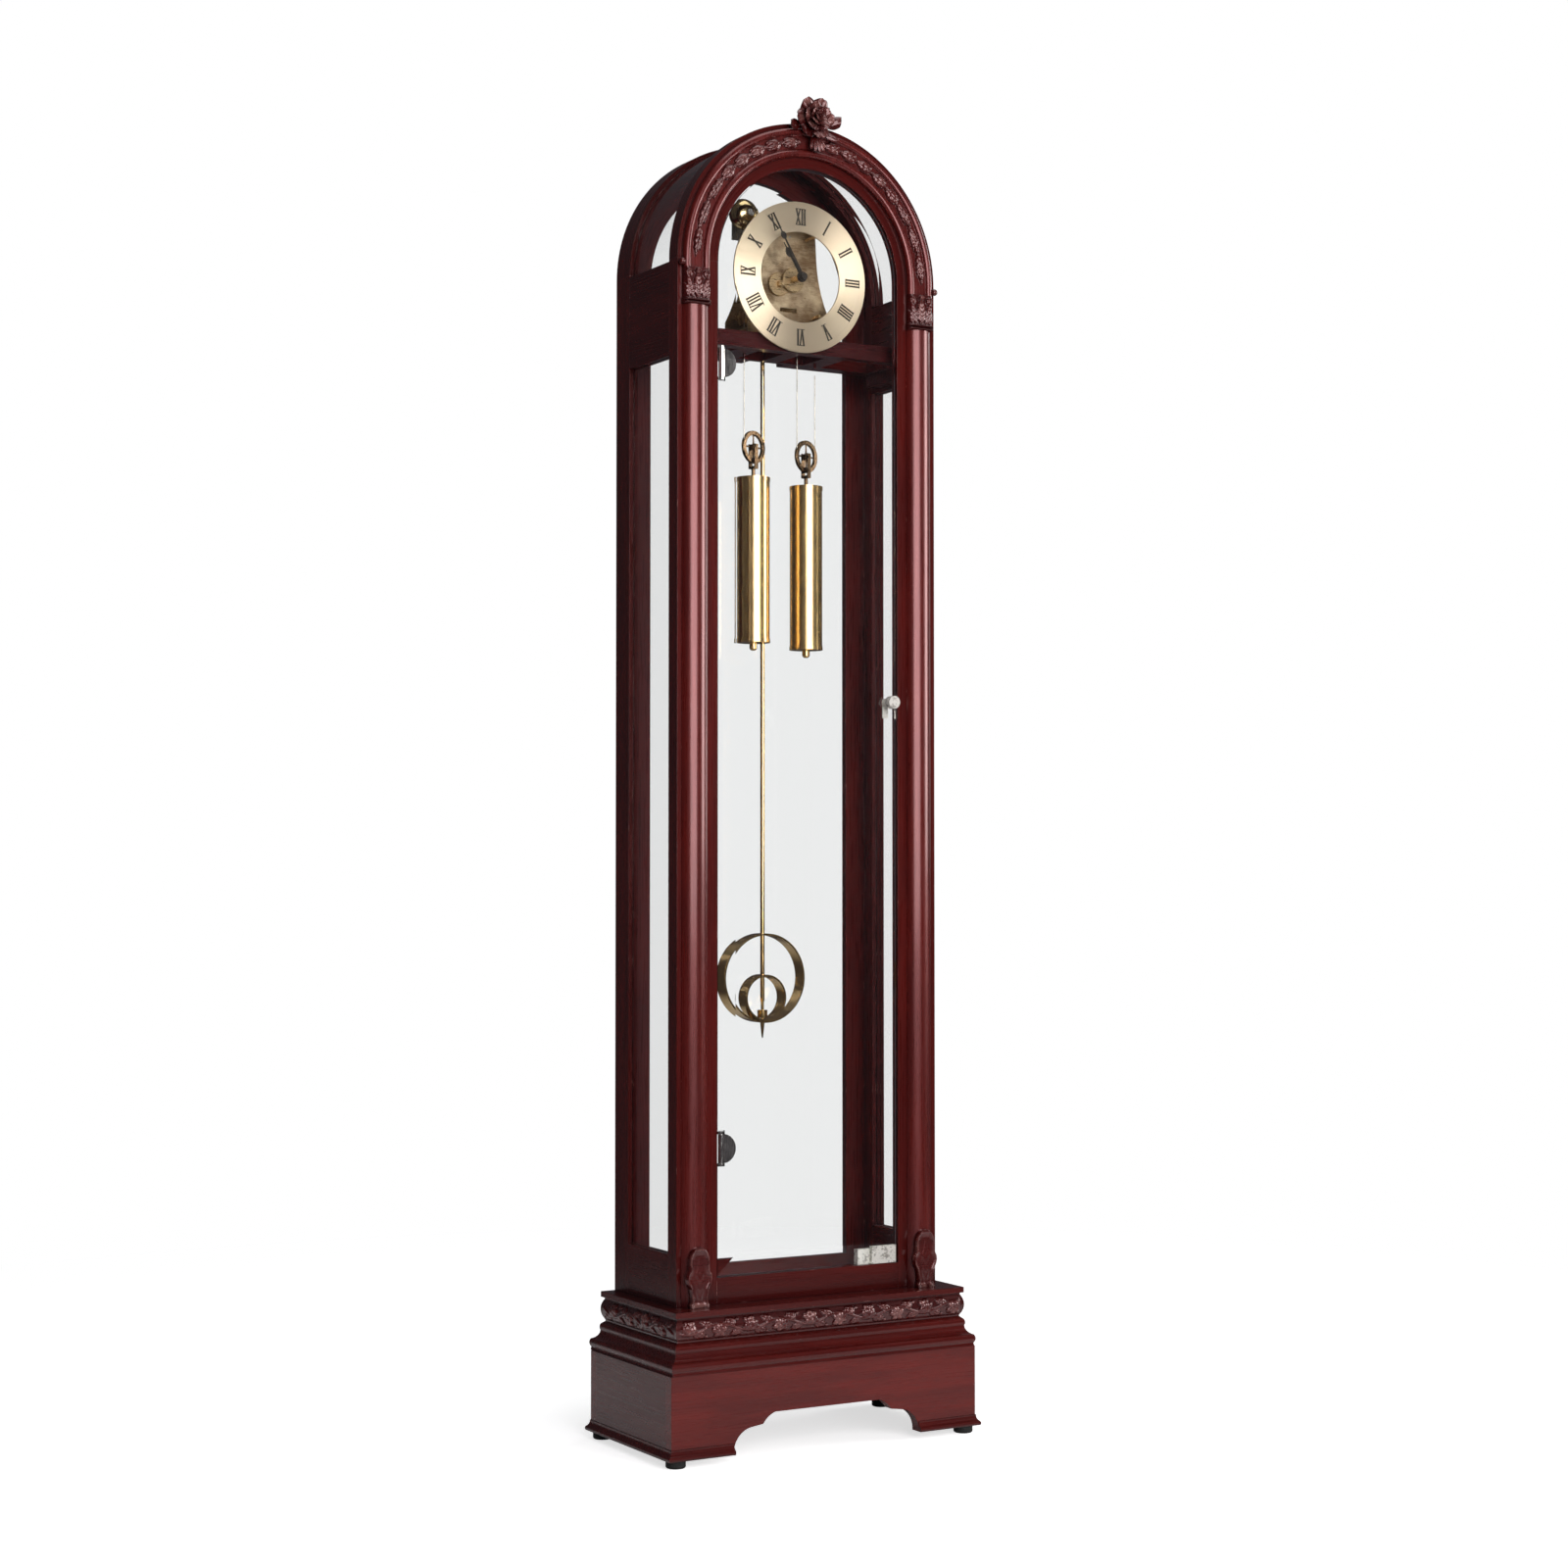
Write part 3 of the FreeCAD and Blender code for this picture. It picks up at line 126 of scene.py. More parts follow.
class Shader(Nodes):
    """One material, and the patterns that its nodes can draw on an object."""

    EDGE_SAMPLES = 4
    HOLLOW_SHADE_SAMPLES = 6

    def __init__(self, name, surface=()):
        self.material = bpy.data.materials.new(name)
        self.material.use_nodes = True
        super().__init__(self.material.node_tree)
        self.surface = self.tree.nodes["Principled BSDF"]
        self.output = self.tree.nodes["Material Output"]
        for socket, value in dict(surface).items():
            self.set(self.surface, socket, value)

    def point(self):
        return self.node("ShaderNodeTexCoord", {}).outputs["Object"]

    def split(self, vector):
        return self.node("ShaderNodeSeparateXYZ", {"Vector": vector}).outputs

    def joined(self, x, y, z):
        return self.node("ShaderNodeCombineXYZ", {"X": x, "Y": y, "Z": z}).outputs[0]

    def scaled(self, vector, scale):
        return self.node("ShaderNodeMapping", {"Vector": vector, "Scale": scale}).outputs[0]

    def noise(self, vector, scale, detail=3.0, roughness=0.55):
        sockets = {"Vector": vector, "Scale": scale, "Detail": detail, "Roughness": roughness}
        return self.node("ShaderNodeTexNoise", sockets).outputs["Fac"]

    def bump(self, height, distance, strength=1.0, normal=None):
        sockets = {"Height": height, "Distance": distance, "Strength": strength}
        if normal is not None:
            sockets["Normal"] = normal
        return self.node("ShaderNodeBump", sockets).outputs[0]

    def soft_edges(self, radius):
        return self.node("ShaderNodeBevel", {"Radius": radius}, samples=self.EDGE_SAMPLES).outputs[0]

    def near_edges(self, radius, low, high):
        """1 on sharp edges, 0 away from them."""
        rounded = self.soft_edges(radius)
        flat = self.node("ShaderNodeNewGeometry", {}).outputs["True Normal"]
        dot = self.node("ShaderNodeVectorMath", {0: rounded, 1: flat}, operation="DOT_PRODUCT")
        return self.between(dot.outputs["Value"], low, high, 1.0, 0.0)

    def painted_hollow_shade(self, reach, low, high, strength):
        """Painted shade: up to a strength in corners and hollows, 0 on open faces."""
        node = self.node("ShaderNodeAmbientOcclusion", {"Distance": reach}, samples=self.HOLLOW_SHADE_SAMPLES)
        return self.between(node.outputs["AO"], low, high, strength, 0.0)

    def attribute(self, name):
        return self.node("ShaderNodeAttribute", {}, attribute_name=name).outputs["Fac"]


def rgb(red, green, blue):
    return (red, green, blue, 1.0)


# ---------------------------------------------------------------- wood
WOOD_DARK = rgb(0.012, 0.0007, 0.0010)
WOOD_MID = rgb(0.068, 0.0030, 0.0016)
WOOD_LIGHT = rgb(0.112, 0.0058, 0.0030)
WOOD_WORN = rgb(0.50, 0.25, 0.22)
GLOW_TINT = rgb(1.0, 0.40, 0.40)
# noise scale of each pattern, along the grain and then across it
FIGURE = (1.0, 9.0, 9.0)
STREAKS = (3.0, 90.0, 90.0)
PORES = (22.0, 420.0, 420.0)
ARCH_UNROLLED = 0.2
HOLLOW_SHADE_REACH = 0.045
RUBBED_EDGE = 1.6 * MM
ROUNDED_EDGE = 1.2 * MM
ROUNDED_CARVING = 0.6 * MM
PORE_DEPTH = 0.12 * MM
LACQUER_RIPPLE = 0.6 * MM


def along_grain(shader, grain):
    """Object position with its X turned to run along the grain."""
    point = shader.point()
    x, y, z = shader.split(point)
    if grain == "x":
        return point
    if grain == "y":
        return shader.joined(y, x, z)
    if grain == "z":
        return shader.joined(z, x, y)
    rise = shader.math("SUBTRACT", z, SPRING_Z)
    turn = shader.math("ARCTAN2", x, rise)
    return shader.joined(shader.math("MULTIPLY", turn, ARCH_UNROLLED), shader.distance(x, rise), y)


def lacquered_wood(name, grain, carved=False, coat=0.6, glow=0.35, stain_and_shade=0.0):
    """Red mahogany under clear lacquer: broad figure, fine pores, rubbed edges, painted shade in corners
    and hollows.
    """
    lacquer = {"Coat Weight": coat, "Coat Roughness": 0.13, "Coat IOR": 1.5}
    shader = Shader(name, {"Specular IOR Level": glow, "Specular Tint": GLOW_TINT, **lacquer})
    place = along_grain(shader, grain)
    figure = shader.noise(shader.scaled(place, FIGURE), 4.0, 5.0, 0.6)
    streaks = shader.noise(shader.scaled(place, STREAKS), 4.0, 4.0, 0.6)
    pores = shader.noise(shader.scaled(place, PORES), 3.0, 2.0, 0.5)
    colour = shader.mix(shader.between(figure, 0.34, 0.66), WOOD_MID, WOOD_LIGHT)
    colour = shader.mix(shader.between(streaks, 0.42, 0.72, 0.0, 0.14), colour, WOOD_DARK)
    colour = shader.mix(shader.between(pores, 0.56, 0.70, 0.0, 0.25), colour, WOOD_DARK)
    # darker over the whole part: painted shade on the sides and the mouldings' copy, a deeper tone of the
    # wood elsewhere
    colour = shader.mix(stain_and_shade, colour, WOOD_DARK)
    # painted shade: darker in corners and hollows, where shade falls
    colour = shader.mix(shader.painted_hollow_shade(HOLLOW_SHADE_REACH, 0.35, 0.85, 0.85), colour, WOOD_DARK)
    blotches = shader.noise(shader.point(), 45.0, 4.0, 0.7)
    if carved:
        high = shader.attribute("high")
        # painted shade: the low parts of a carving are darkened towards WOOD_DARK
        low_relief_shade = shader.between(high, 0.05, 0.45, 0.35, 0.0)
        colour = shader.mix(low_relief_shade, colour, WOOD_DARK)
        crests = shader.math("MULTIPLY", shader.between(high, 0.50, 0.95), 0.26)
        rubbed = shader.math("MULTIPLY", crests, shader.between(blotches, 0.42, 0.62))
        soft = shader.soft_edges(ROUNDED_CARVING)
    else:
        edge = shader.near_edges(RUBBED_EDGE, 0.80, 0.97)
        rubbed = shader.math("MULTIPLY", edge, shader.between(blotches, 0.60, 0.70, 0.0, 0.7))
        soft = shader.soft_edges(ROUNDED_EDGE)
    colour = shader.mix(rubbed, colour, WOOD_WORN)
    shader.set(shader.surface, "Base Color", colour)
    shader.set(shader.surface, "Roughness", shader.between(streaks, 0.3, 0.7, 0.25, 0.34))
    shader.set(shader.surface, "Normal", shader.bump(pores, PORE_DEPTH, 0.35, soft))
    ripple = shader.noise(shader.point(), 14.0, 2.0, 0.5)
    shader.set(shader.surface, "Coat Normal", shader.bump(ripple, LACQUER_RIPPLE, 0.25, soft))
    return shader.material


# ---------------------------------------------------------------- metals, glass and plastic
BRASS = rgb(0.80, 0.55, 0.24)
BRASS_DULL = rgb(0.36, 0.22, 0.09)
BRONZE = rgb(0.17, 0.105, 0.055)
BRONZE_DULL = rgb(0.045, 0.027, 0.014)
BELL = rgb(0.62, 0.47, 0.24)
BELL_DULL = rgb(0.15, 0.10, 0.05)
DIAL_PALE = rgb(0.84, 0.70, 0.51)
DIAL_DEEP = rgb(0.72, 0.57, 0.38)
SHEET_BRASS = rgb(0.62, 0.45, 0.25)
SHEET_BRASS_DULL = rgb(0.17, 0.11, 0.055)
PLATE_PALE = rgb(0.66, 0.52, 0.34)
PLATE_BROWN = rgb(0.16, 0.095, 0.048)
STEEL = rgb(0.50, 0.49, 0.47)
STEEL_DULL = rgb(0.22, 0.21, 0.20)
CHROME = rgb(0.66, 0.65, 0.62)
CHROME_DULL = rgb(0.12, 0.11, 0.10)
NICKEL = rgb(0.83, 0.81, 0.75)
NICKEL_WORN = rgb(0.20, 0.18, 0.15)
WIRE = rgb(0.62, 0.58, 0.50)
WIRE_DULL = rgb(0.25, 0.22, 0.18)
# noise scale on each axis: fine across the brush strokes, coarse along them
WIPED_ALONG_Z = (700.0, 700.0, 60.0)
BRUSHED_LEVEL = (60.0, 60.0, 900.0)
BRUSHED_UPRIGHT = (900.0, 60.0, 60.0)
METAL_EDGE = 0.3 * MM
SHEET_EDGE = 0.2 * MM
WIPE_DEPTH = 0.02 * MM
STROKE_DEPTH = 0.03 * MM
SMUDGE_DEPTH = 0.04 * MM
PAINT_DEPTH = 0.05 * MM
SHELL_LENGTH = 259.2 * MM
WEIGHT_NUT = 12 * MM


def polished_metal(name, colour, dull, roughness, tarnish=0.3):
    """Polished metal with cloudy tarnish and fine wiping marks."""
    shader = Shader(name, {"Metallic": 1.0})
    clouds = shader.noise(shader.point(), 38.0, 5.0, 0.65)
    wipes = shader.noise(shader.scaled(shader.point(), WIPED_ALONG_Z), 1.0, 2.0, 0.5)
    shade = shader.mix(shader.between(clouds, 0.45, 0.72, 0.0, tarnish), colour, dull)
    shader.set(shader.surface, "Base Color", shade)
    gloss = shader.between(wipes, 0.3, 0.7, roughness * 0.75, roughness * 1.35)
    shader.set(shader.surface, "Roughness", gloss)
    soft = shader.soft_edges(METAL_EDGE)
    shader.set(shader.surface, "Normal", shader.bump(wipes, WIPE_DEPTH, 0.3, soft))
    return shader.material


def weight_brass(side):
    """Polished shell with darkened caps, under an antique bronze stirrup."""
    shader = Shader("weight_brass_" + side, {"Metallic": 1.0})
    low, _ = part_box("weight_" + side)
    x, y, z = shader.split(shader.point())
    clouds = shader.noise(shader.point(), 38.0, 5.0, 0.65)
    shell = shader.mix(shader.between(clouds, 0.45, 0.72, 0.0, 0.15), BRASS, BRASS_DULL)
    stirrup = shader.mix(shader.between(clouds, 0.42, 0.66), BRONZE, BRONZE_DULL)
    above = shader.math("GREATER_THAN", z, low.z + WEIGHT_NUT + SHELL_LENGTH)
    shader.set(shader.surface, "Base Color", shader.mix(above, shell, stirrup))
    shader.set(shader.surface, "Roughness", shader.between(clouds, 0.3, 0.7, 0.19, 0.25))
    shader.set(shader.surface, "Normal", shader.soft_edges(METAL_EDGE))
    return shader.material


def brushed_metal(name, colour, dull, roughness, brushed, patch=25.0, patches=0.4):
    """Sheet metal brushed along one direction, clouded by tarnish."""
    shader = Shader(name, {"Metallic": 1.0})
    strokes = shader.noise(shader.scaled(shader.point(), brushed), 1.0, 3.0, 0.6)
    clouds = shader.noise(shader.point(), patch, 4.0, 0.6)
    tarnish = shader.between(clouds, 0.32, 0.70, 0.0, patches)
    shade = shader.math("ADD", shader.between(strokes, 0.3, 0.7, 0.0, 0.3), tarnish, clamp=True)
    shader.set(shader.surface, "Base Color", shader.mix(shade, colour, dull))
    gloss = shader.between(strokes, 0.3, 0.7, roughness * 0.8, roughness * 1.3)
    shader.set(shader.surface, "Roughness", gloss)
    soft = shader.soft_edges(SHEET_EDGE)
    shader.set(shader.surface, "Normal", shader.bump(strokes, STROKE_DEPTH, 0.5, soft))
    return shader.material


def satin_nickel():
    """Pale plating, smudged dark where hands and the latch have rubbed it."""
    shader = Shader("satin_nickel", {"Metallic": 0.55})
    smudges = shader.noise(shader.point(), 110.0, 5.0, 0.75)
    wear = shader.between(smudges, 0.50, 0.62, 0.0, 0.8)
    shader.set(shader.surface, "Base Color", shader.mix(wear, NICKEL, NICKEL_WORN))
    shader.set(shader.surface, "Roughness", shader.between(smudges, 0.3, 0.7, 0.26, 0.42))
    soft = shader.soft_edges(METAL_EDGE)
    shader.set(shader.surface, "Normal", shader.bump(smudges, SMUDGE_DEPTH, 0.3, soft))
    return shader.material


def spun_brass():
    """Dial brass turned on a lathe: rings round the dial's own centre, light fanned across them."""
    shader = Shader("dial_brass", {"Metallic": 1.0, "Anisotropic": 0.8, "Anisotropic Rotation": 0.25})
    low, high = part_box("dial_ring")
    centre = (low + high) / 2
    x, y, z = shader.split(shader.point())
    radius = shader.distance(shader.math("SUBTRACT", x, centre.x), shader.math("SUBTRACT", z, centre.z))
    rings = shader.noise(shader.joined(radius, 0.0, 0.0), 2600.0, 2.0, 0.5)
    broad = shader.noise(shader.joined(radius, 0.0, 0.0), 160.0, 2.0, 0.5)
    tint = shader.mix(shader.between(broad, 0.3, 0.7, 0.0, 0.35), DIAL_PALE, DIAL_DEEP)
    shader.set(shader.surface, "Base Color", tint)
    shader.set(shader.surface, "Roughness", shader.between(rings, 0.3, 0.7, 0.32, 0.42))
    soft = shader.soft_edges(METAL_EDGE)
    shader.set(shader.surface, "Normal", shader.bump(rings, STROKE_DEPTH, 0.5, soft))
    tangent = shader.node("ShaderNodeTangent", {}, direction_type="RADIAL", axis="Y").outputs[0]
    shader.set(shader.surface, "Tangent", tangent)
    return shader.material


def clear_glass():
    """Polished pane that lets lamp light straight through."""
    shader = Shader("clear_glass", {"Transmission Weight": 1.0, "Roughness": 0.0, "IOR": 1.47})
    shader.set(shader.surface, "Base Color", rgb(0.980, 0.986, 0.985))
    through = shader.node("ShaderNodeBsdfTransparent", {"Color": rgb(0.94, 0.96, 0.95)}).outputs[0]
    shadow = shader.ray()["Is Shadow Ray"]
    mixed = shader.node("ShaderNodeMixShader", {0: shadow, 1: shader.surface.outputs[0], 2: through})
    shader.set(shader.output, "Surface", mixed.outputs[0])
    return shader.material


def painted(name, colour, edge_colour, roughness):
    """Thin paint with slight mottling towards a second colour."""
    shader = Shader(name, {"Specular IOR Level": 0.2})
    mottle = shader.noise(shader.point(), 240.0, 4.0, 0.6)
    base = shader.mix(shader.between(mottle, 0.35, 0.65, 0.0, 0.5), colour, edge_colour)
    shader.set(shader.surface, "Base Color", base)
    gloss = shader.between(mottle, 0.3, 0.7, roughness * 0.8, roughness * 1.2)
    shader.set(shader.surface, "Roughness", gloss)
    soft = shader.soft_edges(SHEET_EDGE)
    shader.set(shader.surface, "Normal", shader.bump(mottle, PAINT_DEPTH, 0.4, soft))
    return shader.material


def make_woods():
    """Lacquered wood by the way its grain runs, darkened over whole parts: painted shade on the sides and
    on the darker copy for mouldings, rails and seat board, a deeper tone of the wood on the other parts.
    """
    return {
        "wood_x": lacquered_wood("mahogany_along_x", "x"),
        # darker copy of the front's mahogany: painted shade
        "wood_x_shaded": lacquered_wood("shaded_mahogany_along_x", "x", stain_and_shade=0.45),
        "wood_y": lacquered_wood("shaded_mahogany_along_y", "y", stain_and_shade=0.5),
        "wood_z": lacquered_wood("mahogany_along_z", "z", stain_and_shade=0.4),
        "wood_arch": lacquered_wood("mahogany_round_arch", "arch", stain_and_shade=0.5),
        "column_wood": lacquered_wood("column_wood", "z", coat=0.4, glow=1.0, stain_and_shade=0.3),
        "carved_wood": lacquered_wood("carved_wood", "x", carved=True, coat=0.8, glow=0.6, stain_and_shade=0.55),
    }


def make_metals():
    sheet_brass = brushed_metal("brushed_brass", SHEET_BRASS, SHEET_BRASS_DULL, 0.3, BRUSHED_LEVEL)
    old_plate = brushed_metal("tarnished_plate", PLATE_PALE, PLATE_BROWN, 0.34, BRUSHED_LEVEL, 26.0, 0.8)
    return {
        "brass": polished_metal("polished_brass", BRASS, BRASS_DULL, 0.12, 0.15),
        "pulley_brass": polished_metal("antique_brass", BRONZE, BRONZE_DULL, 0.26, 0.7),
        "weight_left": weight_brass("left"),
        "weight_right": weight_brass("right"),
        "dial_brass": spun_brass(),
        "plate_brass": sheet_brass,
        "front_plate": old_plate,
        "bell_brass": polished_metal("bell_brass", BELL, BELL_DULL, 0.14, 0.6),
        "steel": brushed_metal("brushed_steel", STEEL, STEEL_DULL, 0.3, BRUSHED_UPRIGHT),
        "chrome": satin_nickel(),
        "hinge_clamps": polished_metal("hinge_chrome", CHROME, CHROME_DULL, 0.16, 0.6),
        "cable_steel": polished_metal("cable_steel", WIRE, WIRE_DULL, 0.25),
    }


def make_materials():
    """One material for each slot of the record, and for each node that has a finish of its own."""
    return {
        **make_woods(),
        **make_metals(),
        "glass": clear_glass(),
        "hand_steel": painted("blued_hands", rgb(0.012, 0.010, 0.009), rgb(0.035, 0.028, 0.022), 0.35),
        "numeral_black": painted("numeral_black", rgb(0.022, 0.017, 0.012), rgb(0.060, 0.045, 0.030), 0.5),
        "glide_black": painted("glide_plastic", rgb(0.012, 0.012, 0.012), rgb(0.03, 0.03, 0.03), 0.6),
    }


FINISH_OF = {
    "plinth_front_and_back": "wood_x",
    "plinth_sides": "wood_y",
    # mouldings, rails and seat board take the darker copy of the front's mahogany: painted shade
    "base_moulding": "wood_x_shaded",
    "base_top_board": "wood_x_shaded",
    "foot_mouldings": "wood_x_shaded",
    "bottom_rails": "wood_x_shaded",
    "front_stiles": "wood_z",
    "back_stiles": "wood_z",
    "front_arch": "wood_arch",
    "back_arch": "wood_arch",
    "side_rails": "wood_y",
    "side_panels": "wood_y",
    "seat_board": "wood_x_shaded",
    "hinge_brackets": "hinge_clamps",
}


def dress_cad_nodes(materials):
    """A node takes the finish listed for it, else the material of its own name, else its slot's."""
    for name, node in frame["nodes"].items():
        for place in node.material_slots:
            slot = place.material.name.split(".")[0]
            own = name if name in materials else slot
            place.material = materials[FINISH_OF.get(name, own)]


# ---------------------------------------------------------------- carving tools
# height outside a carved motif, under every ground
NOWHERE = -9.0


def closed_slab(front, back, high):
    """Points, faces and height marks of the closed solid between two grids."""
    rows, columns = front.shape[:2]
    index = np.arange(rows * columns).reshape(rows, columns)
    corners = [index[:-1, :-1], index[1:, :-1], index[1:, 1:], index[:-1, 1:]]
    top = np.stack(corners, axis=-1).reshape(-1, 4)
    bottom = top[:, ::-1] + rows * columns
    rim = np.concatenate([index[0], index[1:, -1], index[-1, -2::-1], index[-2:0:-1, 0]])
    after = np.roll(rim, -1)
    sides = np.stack([rim, after, after + rows * columns, rim + rows * columns], axis=-1)
    points = np.concatenate([front.reshape(-1, 3), back.reshape(-1, 3)])
    marks = np.concatenate([high.ravel(), np.zeros(rows * columns)])
    return points, np.concatenate([top, bottom, sides]), marks


def solid_piece(name, points, faces, material, sharp_angle=None):
    """Smooth shaded object, its faces turned outwards; edges above an angle in degrees stay sharp."""
    mesh = bpy.data.meshes.new(name)
    mesh.from_pydata(points.tolist(), [], faces)
    work = bmesh.new()
    work.from_mesh(mesh)
    bmesh.ops.recalc_face_normals(work, faces=work.faces)
    work.to_mesh(mesh)
    work.free()
    mesh.shade_smooth()
    if sharp_angle is not None:
        mesh.set_sharp_from_angle(angle=math.radians(sharp_angle))
    mesh.materials.append(material)
    piece = bpy.data.objects.new(name, mesh)
    bpy.context.scene.collection.objects.link(piece)
    return piece


def carve(name, slabs, materials):
    """One carved piece out of closed slabs, fixed to the case."""
    points, faces, marks = [], [], []
    offset = 0
    for slab_points, slab_faces, slab_marks in slabs:
        points.append(slab_points)
        faces.append(slab_faces + offset)
        marks.append(slab_marks)
        offset += len(slab_points)
    faces = np.concatenate(faces).tolist()
    piece = solid_piece(name, np.concatenate(points), faces, materials["carved_wood"], 50)
    # height marks: the low parts of a carving get painted shade, its crests are rubbed paler
    high = piece.data.attributes.new("high", "FLOAT", "POINT")
    high.data.foreach_set("value", np.concatenate(marks).astype(np.float32))
    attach(piece, "case")
    return piece


def leaf_height(u, v, at, angle, length, width, height, lobes=0, veins=5):
    """Raised leaf on a grid, with its root at a point and its tip along the angle, in degrees from +U."""
    turn = math.radians(angle)
    along = (u - at[0]) * math.cos(turn) + (v - at[1]) * math.sin(turn)
    across = (v - at[1]) * math.cos(turn) - (u - at[0]) * math.sin(turn)
    t = np.clip(along / length, 0, 1)
    half = width / 2 * np.sin(np.pi * t ** 0.8) ** 0.75
    half = half * (1 - 0.22 * np.abs(np.sin(lobes * np.pi * t))) + 1e-6
    q = np.abs(across) / half
    h = height * np.sqrt(np.clip(1 - q ** 2, 0, 1)) * (0.75 + 0.25 * np.sin(np.pi * t))
    h = h - 0.30 * height * np.exp(-(across / (0.07 * width)) ** 2)
    h = h - 0.14 * height * (0.5 + 0.5 * np.cos(2 * np.pi * (veins * t - 0.9 * q)))
    inside = (along > 0) & (along < length) & (q < 1)
    return np.where(inside, h, NOWHERE)


def bead_height(u, v, at, radius, height):
    r = np.hypot(u - at[0], v - at[1]) / radius
    return np.where(r < 1, height * np.sqrt(np.clip(1 - r ** 2, 0, 1)), NOWHERE)


def flower_height(u, v, at, radius, height, petals=5, turn=0.0):
    """Open flower with notched petals round a button."""
    du, dv = u - at[0], v - at[1]
    r = np.hypot(du, dv)
    theta = np.arctan2(dv, du) + turn
    lobe = np.abs(np.cos(petals * theta / 2))
    edge = radius * (0.62 + 0.38 * lobe)
    q = r / edge
    h = height * (0.35 + 0.65 * np.sin(np.pi * np.clip(q, 0, 1) ** 1.3)) * (0.7 + 0.3 * lobe)
    h = np.where(q < 1, h, NOWHERE)
    return np.maximum(h, bead_height(u, v, at, radius * 0.3, height * 1.05))


def stem_height(u, v, middle, radius, height):
    """Rounded stem whose middle line is v = middle(u)."""
    step = 0.5
    slope = (middle(u + step) - middle(u - step)) / (2 * step)
    distance = np.abs(v - middle(u)) / np.sqrt(1 + slope ** 2) / radius
    return np.where(distance < 1, height * np.sqrt(np.clip(1 - distance ** 2, 0, 1)), NOWHERE)


def grid(u0, u1, v0, v1, step):
    u = np.linspace(u0, u1, max(2, round(abs(u1 - u0) / step) + 1))
    v = np.linspace(v0, v1, max(2, round(abs(v1 - v0) / step) + 1))
    return np.meshgrid(u, v, indexing="ij")


# ---------------------------------------------------------------- carved frieze
FRIEZE_STEP = 1.0
FRIEZE_SUNK = -0.7
FRIEZE_BACK = -9.0
FRIEZE_RELIEF = 3.4
FRIEZE_SWELL = 5.0
FRIEZE_FOOT = 2.5
FRIEZE_HEAD = 3.0
VINE_WAVE = 104.0
VINE_SWING = 6.5
VINE_END = 12.0
STEM_R = 2.4
FLOWER_R = 13.5
FLOWER_DROP = 4.5
BERRY_R = 3.2
# each leaf's lean in degrees, place along the stem, length and width
VINE_LEAVES = (
    (-32, -10, 25, 17), (34, 9, 24, 16), (160, -12, 24, 16),
    (-146, 14, 25, 16), (-70, 3, 16, 13), (84, 23, 14, 11),
)


def vine(u, v, middle_v, reach):
    """Running vine: flowers in the bends, leaves off the stem, berries between them."""
    def middle(at):
        return middle_v + VINE_SWING * np.sin(2 * np.pi * at / VINE_WAVE)

    h = stem_height(u, v, middle, STEM_R, STEM_R)
    half_wave = VINE_WAVE / 2
    bends = int(reach / half_wave) + 1
    for index in range(-bends, bends + 1):
        side = 1 if index % 2 == 0 else -1
        crest = (index + 0.5) * half_wave
        if abs(crest) > reach - VINE_END:
            continue
        flower_at = (crest, middle_v - side * FLOWER_DROP)
        h = np.maximum(h, flower_height(u, v, flower_at, FLOWER_R, FRIEZE_RELIEF, 5, 0.4 * index))
        for lean, far, long, wide in VINE_LEAVES:
            root = (crest + far, middle(crest + far))
            h = np.maximum(h, leaf_height(u, v, root, side * lean, long, wide, FRIEZE_RELIEF * 0.85, 3))
        for offset in (-3, 3):
            berry = (crest + half_wave / 2 + offset * 1.4, middle_v + side * (9.0 + 0.8 * offset))
            h = np.maximum(h, bead_height(u, v, berry, BERRY_R, FRIEZE_RELIEF))
    return h


def build_frieze(materials):
    """Vine relief on the ovolo, on the front and both sides; its ground lies under the CAD surface."""
    low, high = FRIEZE_LOW / MM, FRIEZE_HIGH / MM
    swell_low, swell_high = low.z + FRIEZE_FOOT, high.z - FRIEZE_HEAD
    middle = (swell_low + swell_high) / 2
    half = (swell_high - swell_low) / 2

    def band(reach, place):
        u, v = grid(-reach, reach, swell_low, swell_high, FRIEZE_STEP)
        h = np.maximum(vine(u, v, middle, reach), FRIEZE_SUNK)
        fade = np.clip((half - np.abs(v - middle)) / 4.0, 0, 1) * np.clip((reach - np.abs(u)) / 6.0, 0, 1)
        h = FRIEZE_SUNK + (h - FRIEZE_SUNK) * fade
        swell = FRIEZE_SWELL * (1 - ((v - middle) / half) ** 2)
        marks = np.clip(h / FRIEZE_RELIEF, 0, 1)
        back = np.full_like(h, FRIEZE_BACK)
        return closed_slab(place(u, swell + h - FRIEZE_SWELL, v), place(u, back, v), marks)

    def on_front(u, out, z):
        return np.stack([u, low.y - out, z], axis=-1) * MM

    def on_side(side):
        def place(u, out, z):
            return np.stack([side * (high.x + out), (low.y + high.y) / 2 + u, z], axis=-1) * MM
        return place

    slabs = [band(high.x - FRIEZE_SWELL, on_front)]
    for side in (-1, 1):
        slabs.append(band((high.y - low.y) / 2 - FRIEZE_SWELL, on_side(side)))
    carve("vine_relief", slabs, materials)


# ---------------------------------------------------------------- garland round the arch
GARLAND_HALF_WIDTH = 10.5
GARLAND_STEP = 0.9
GARLAND_SUNK = -0.8
GARLAND_BACK = -3.0
GARLAND_RELIEF = 5.4
HUSKS = 5
HUSK_START = 6.6
HUSK_PITCH = 9.1
# lean in degrees, length, width and height of the three leaves in a husk
HUSK_LEAVES = ((0, 31, 17, 5.4), (11, 28, 14, 4.6), (-11, 28, 14, 4.6))
# where each long leaf starts and ends, in degrees from the crown
LONG_LEAVES = ((50.5, 65.0), (62.5, 78.0), (75.5, 89.8))
# lean, share of the length, width and height of the three folds in a long leaf
LEAF_FOLDS = ((3, 1.0, 15, 5.4), (-7, 0.8, 9, 4.2), (9, 0.7, 8, 3.8))


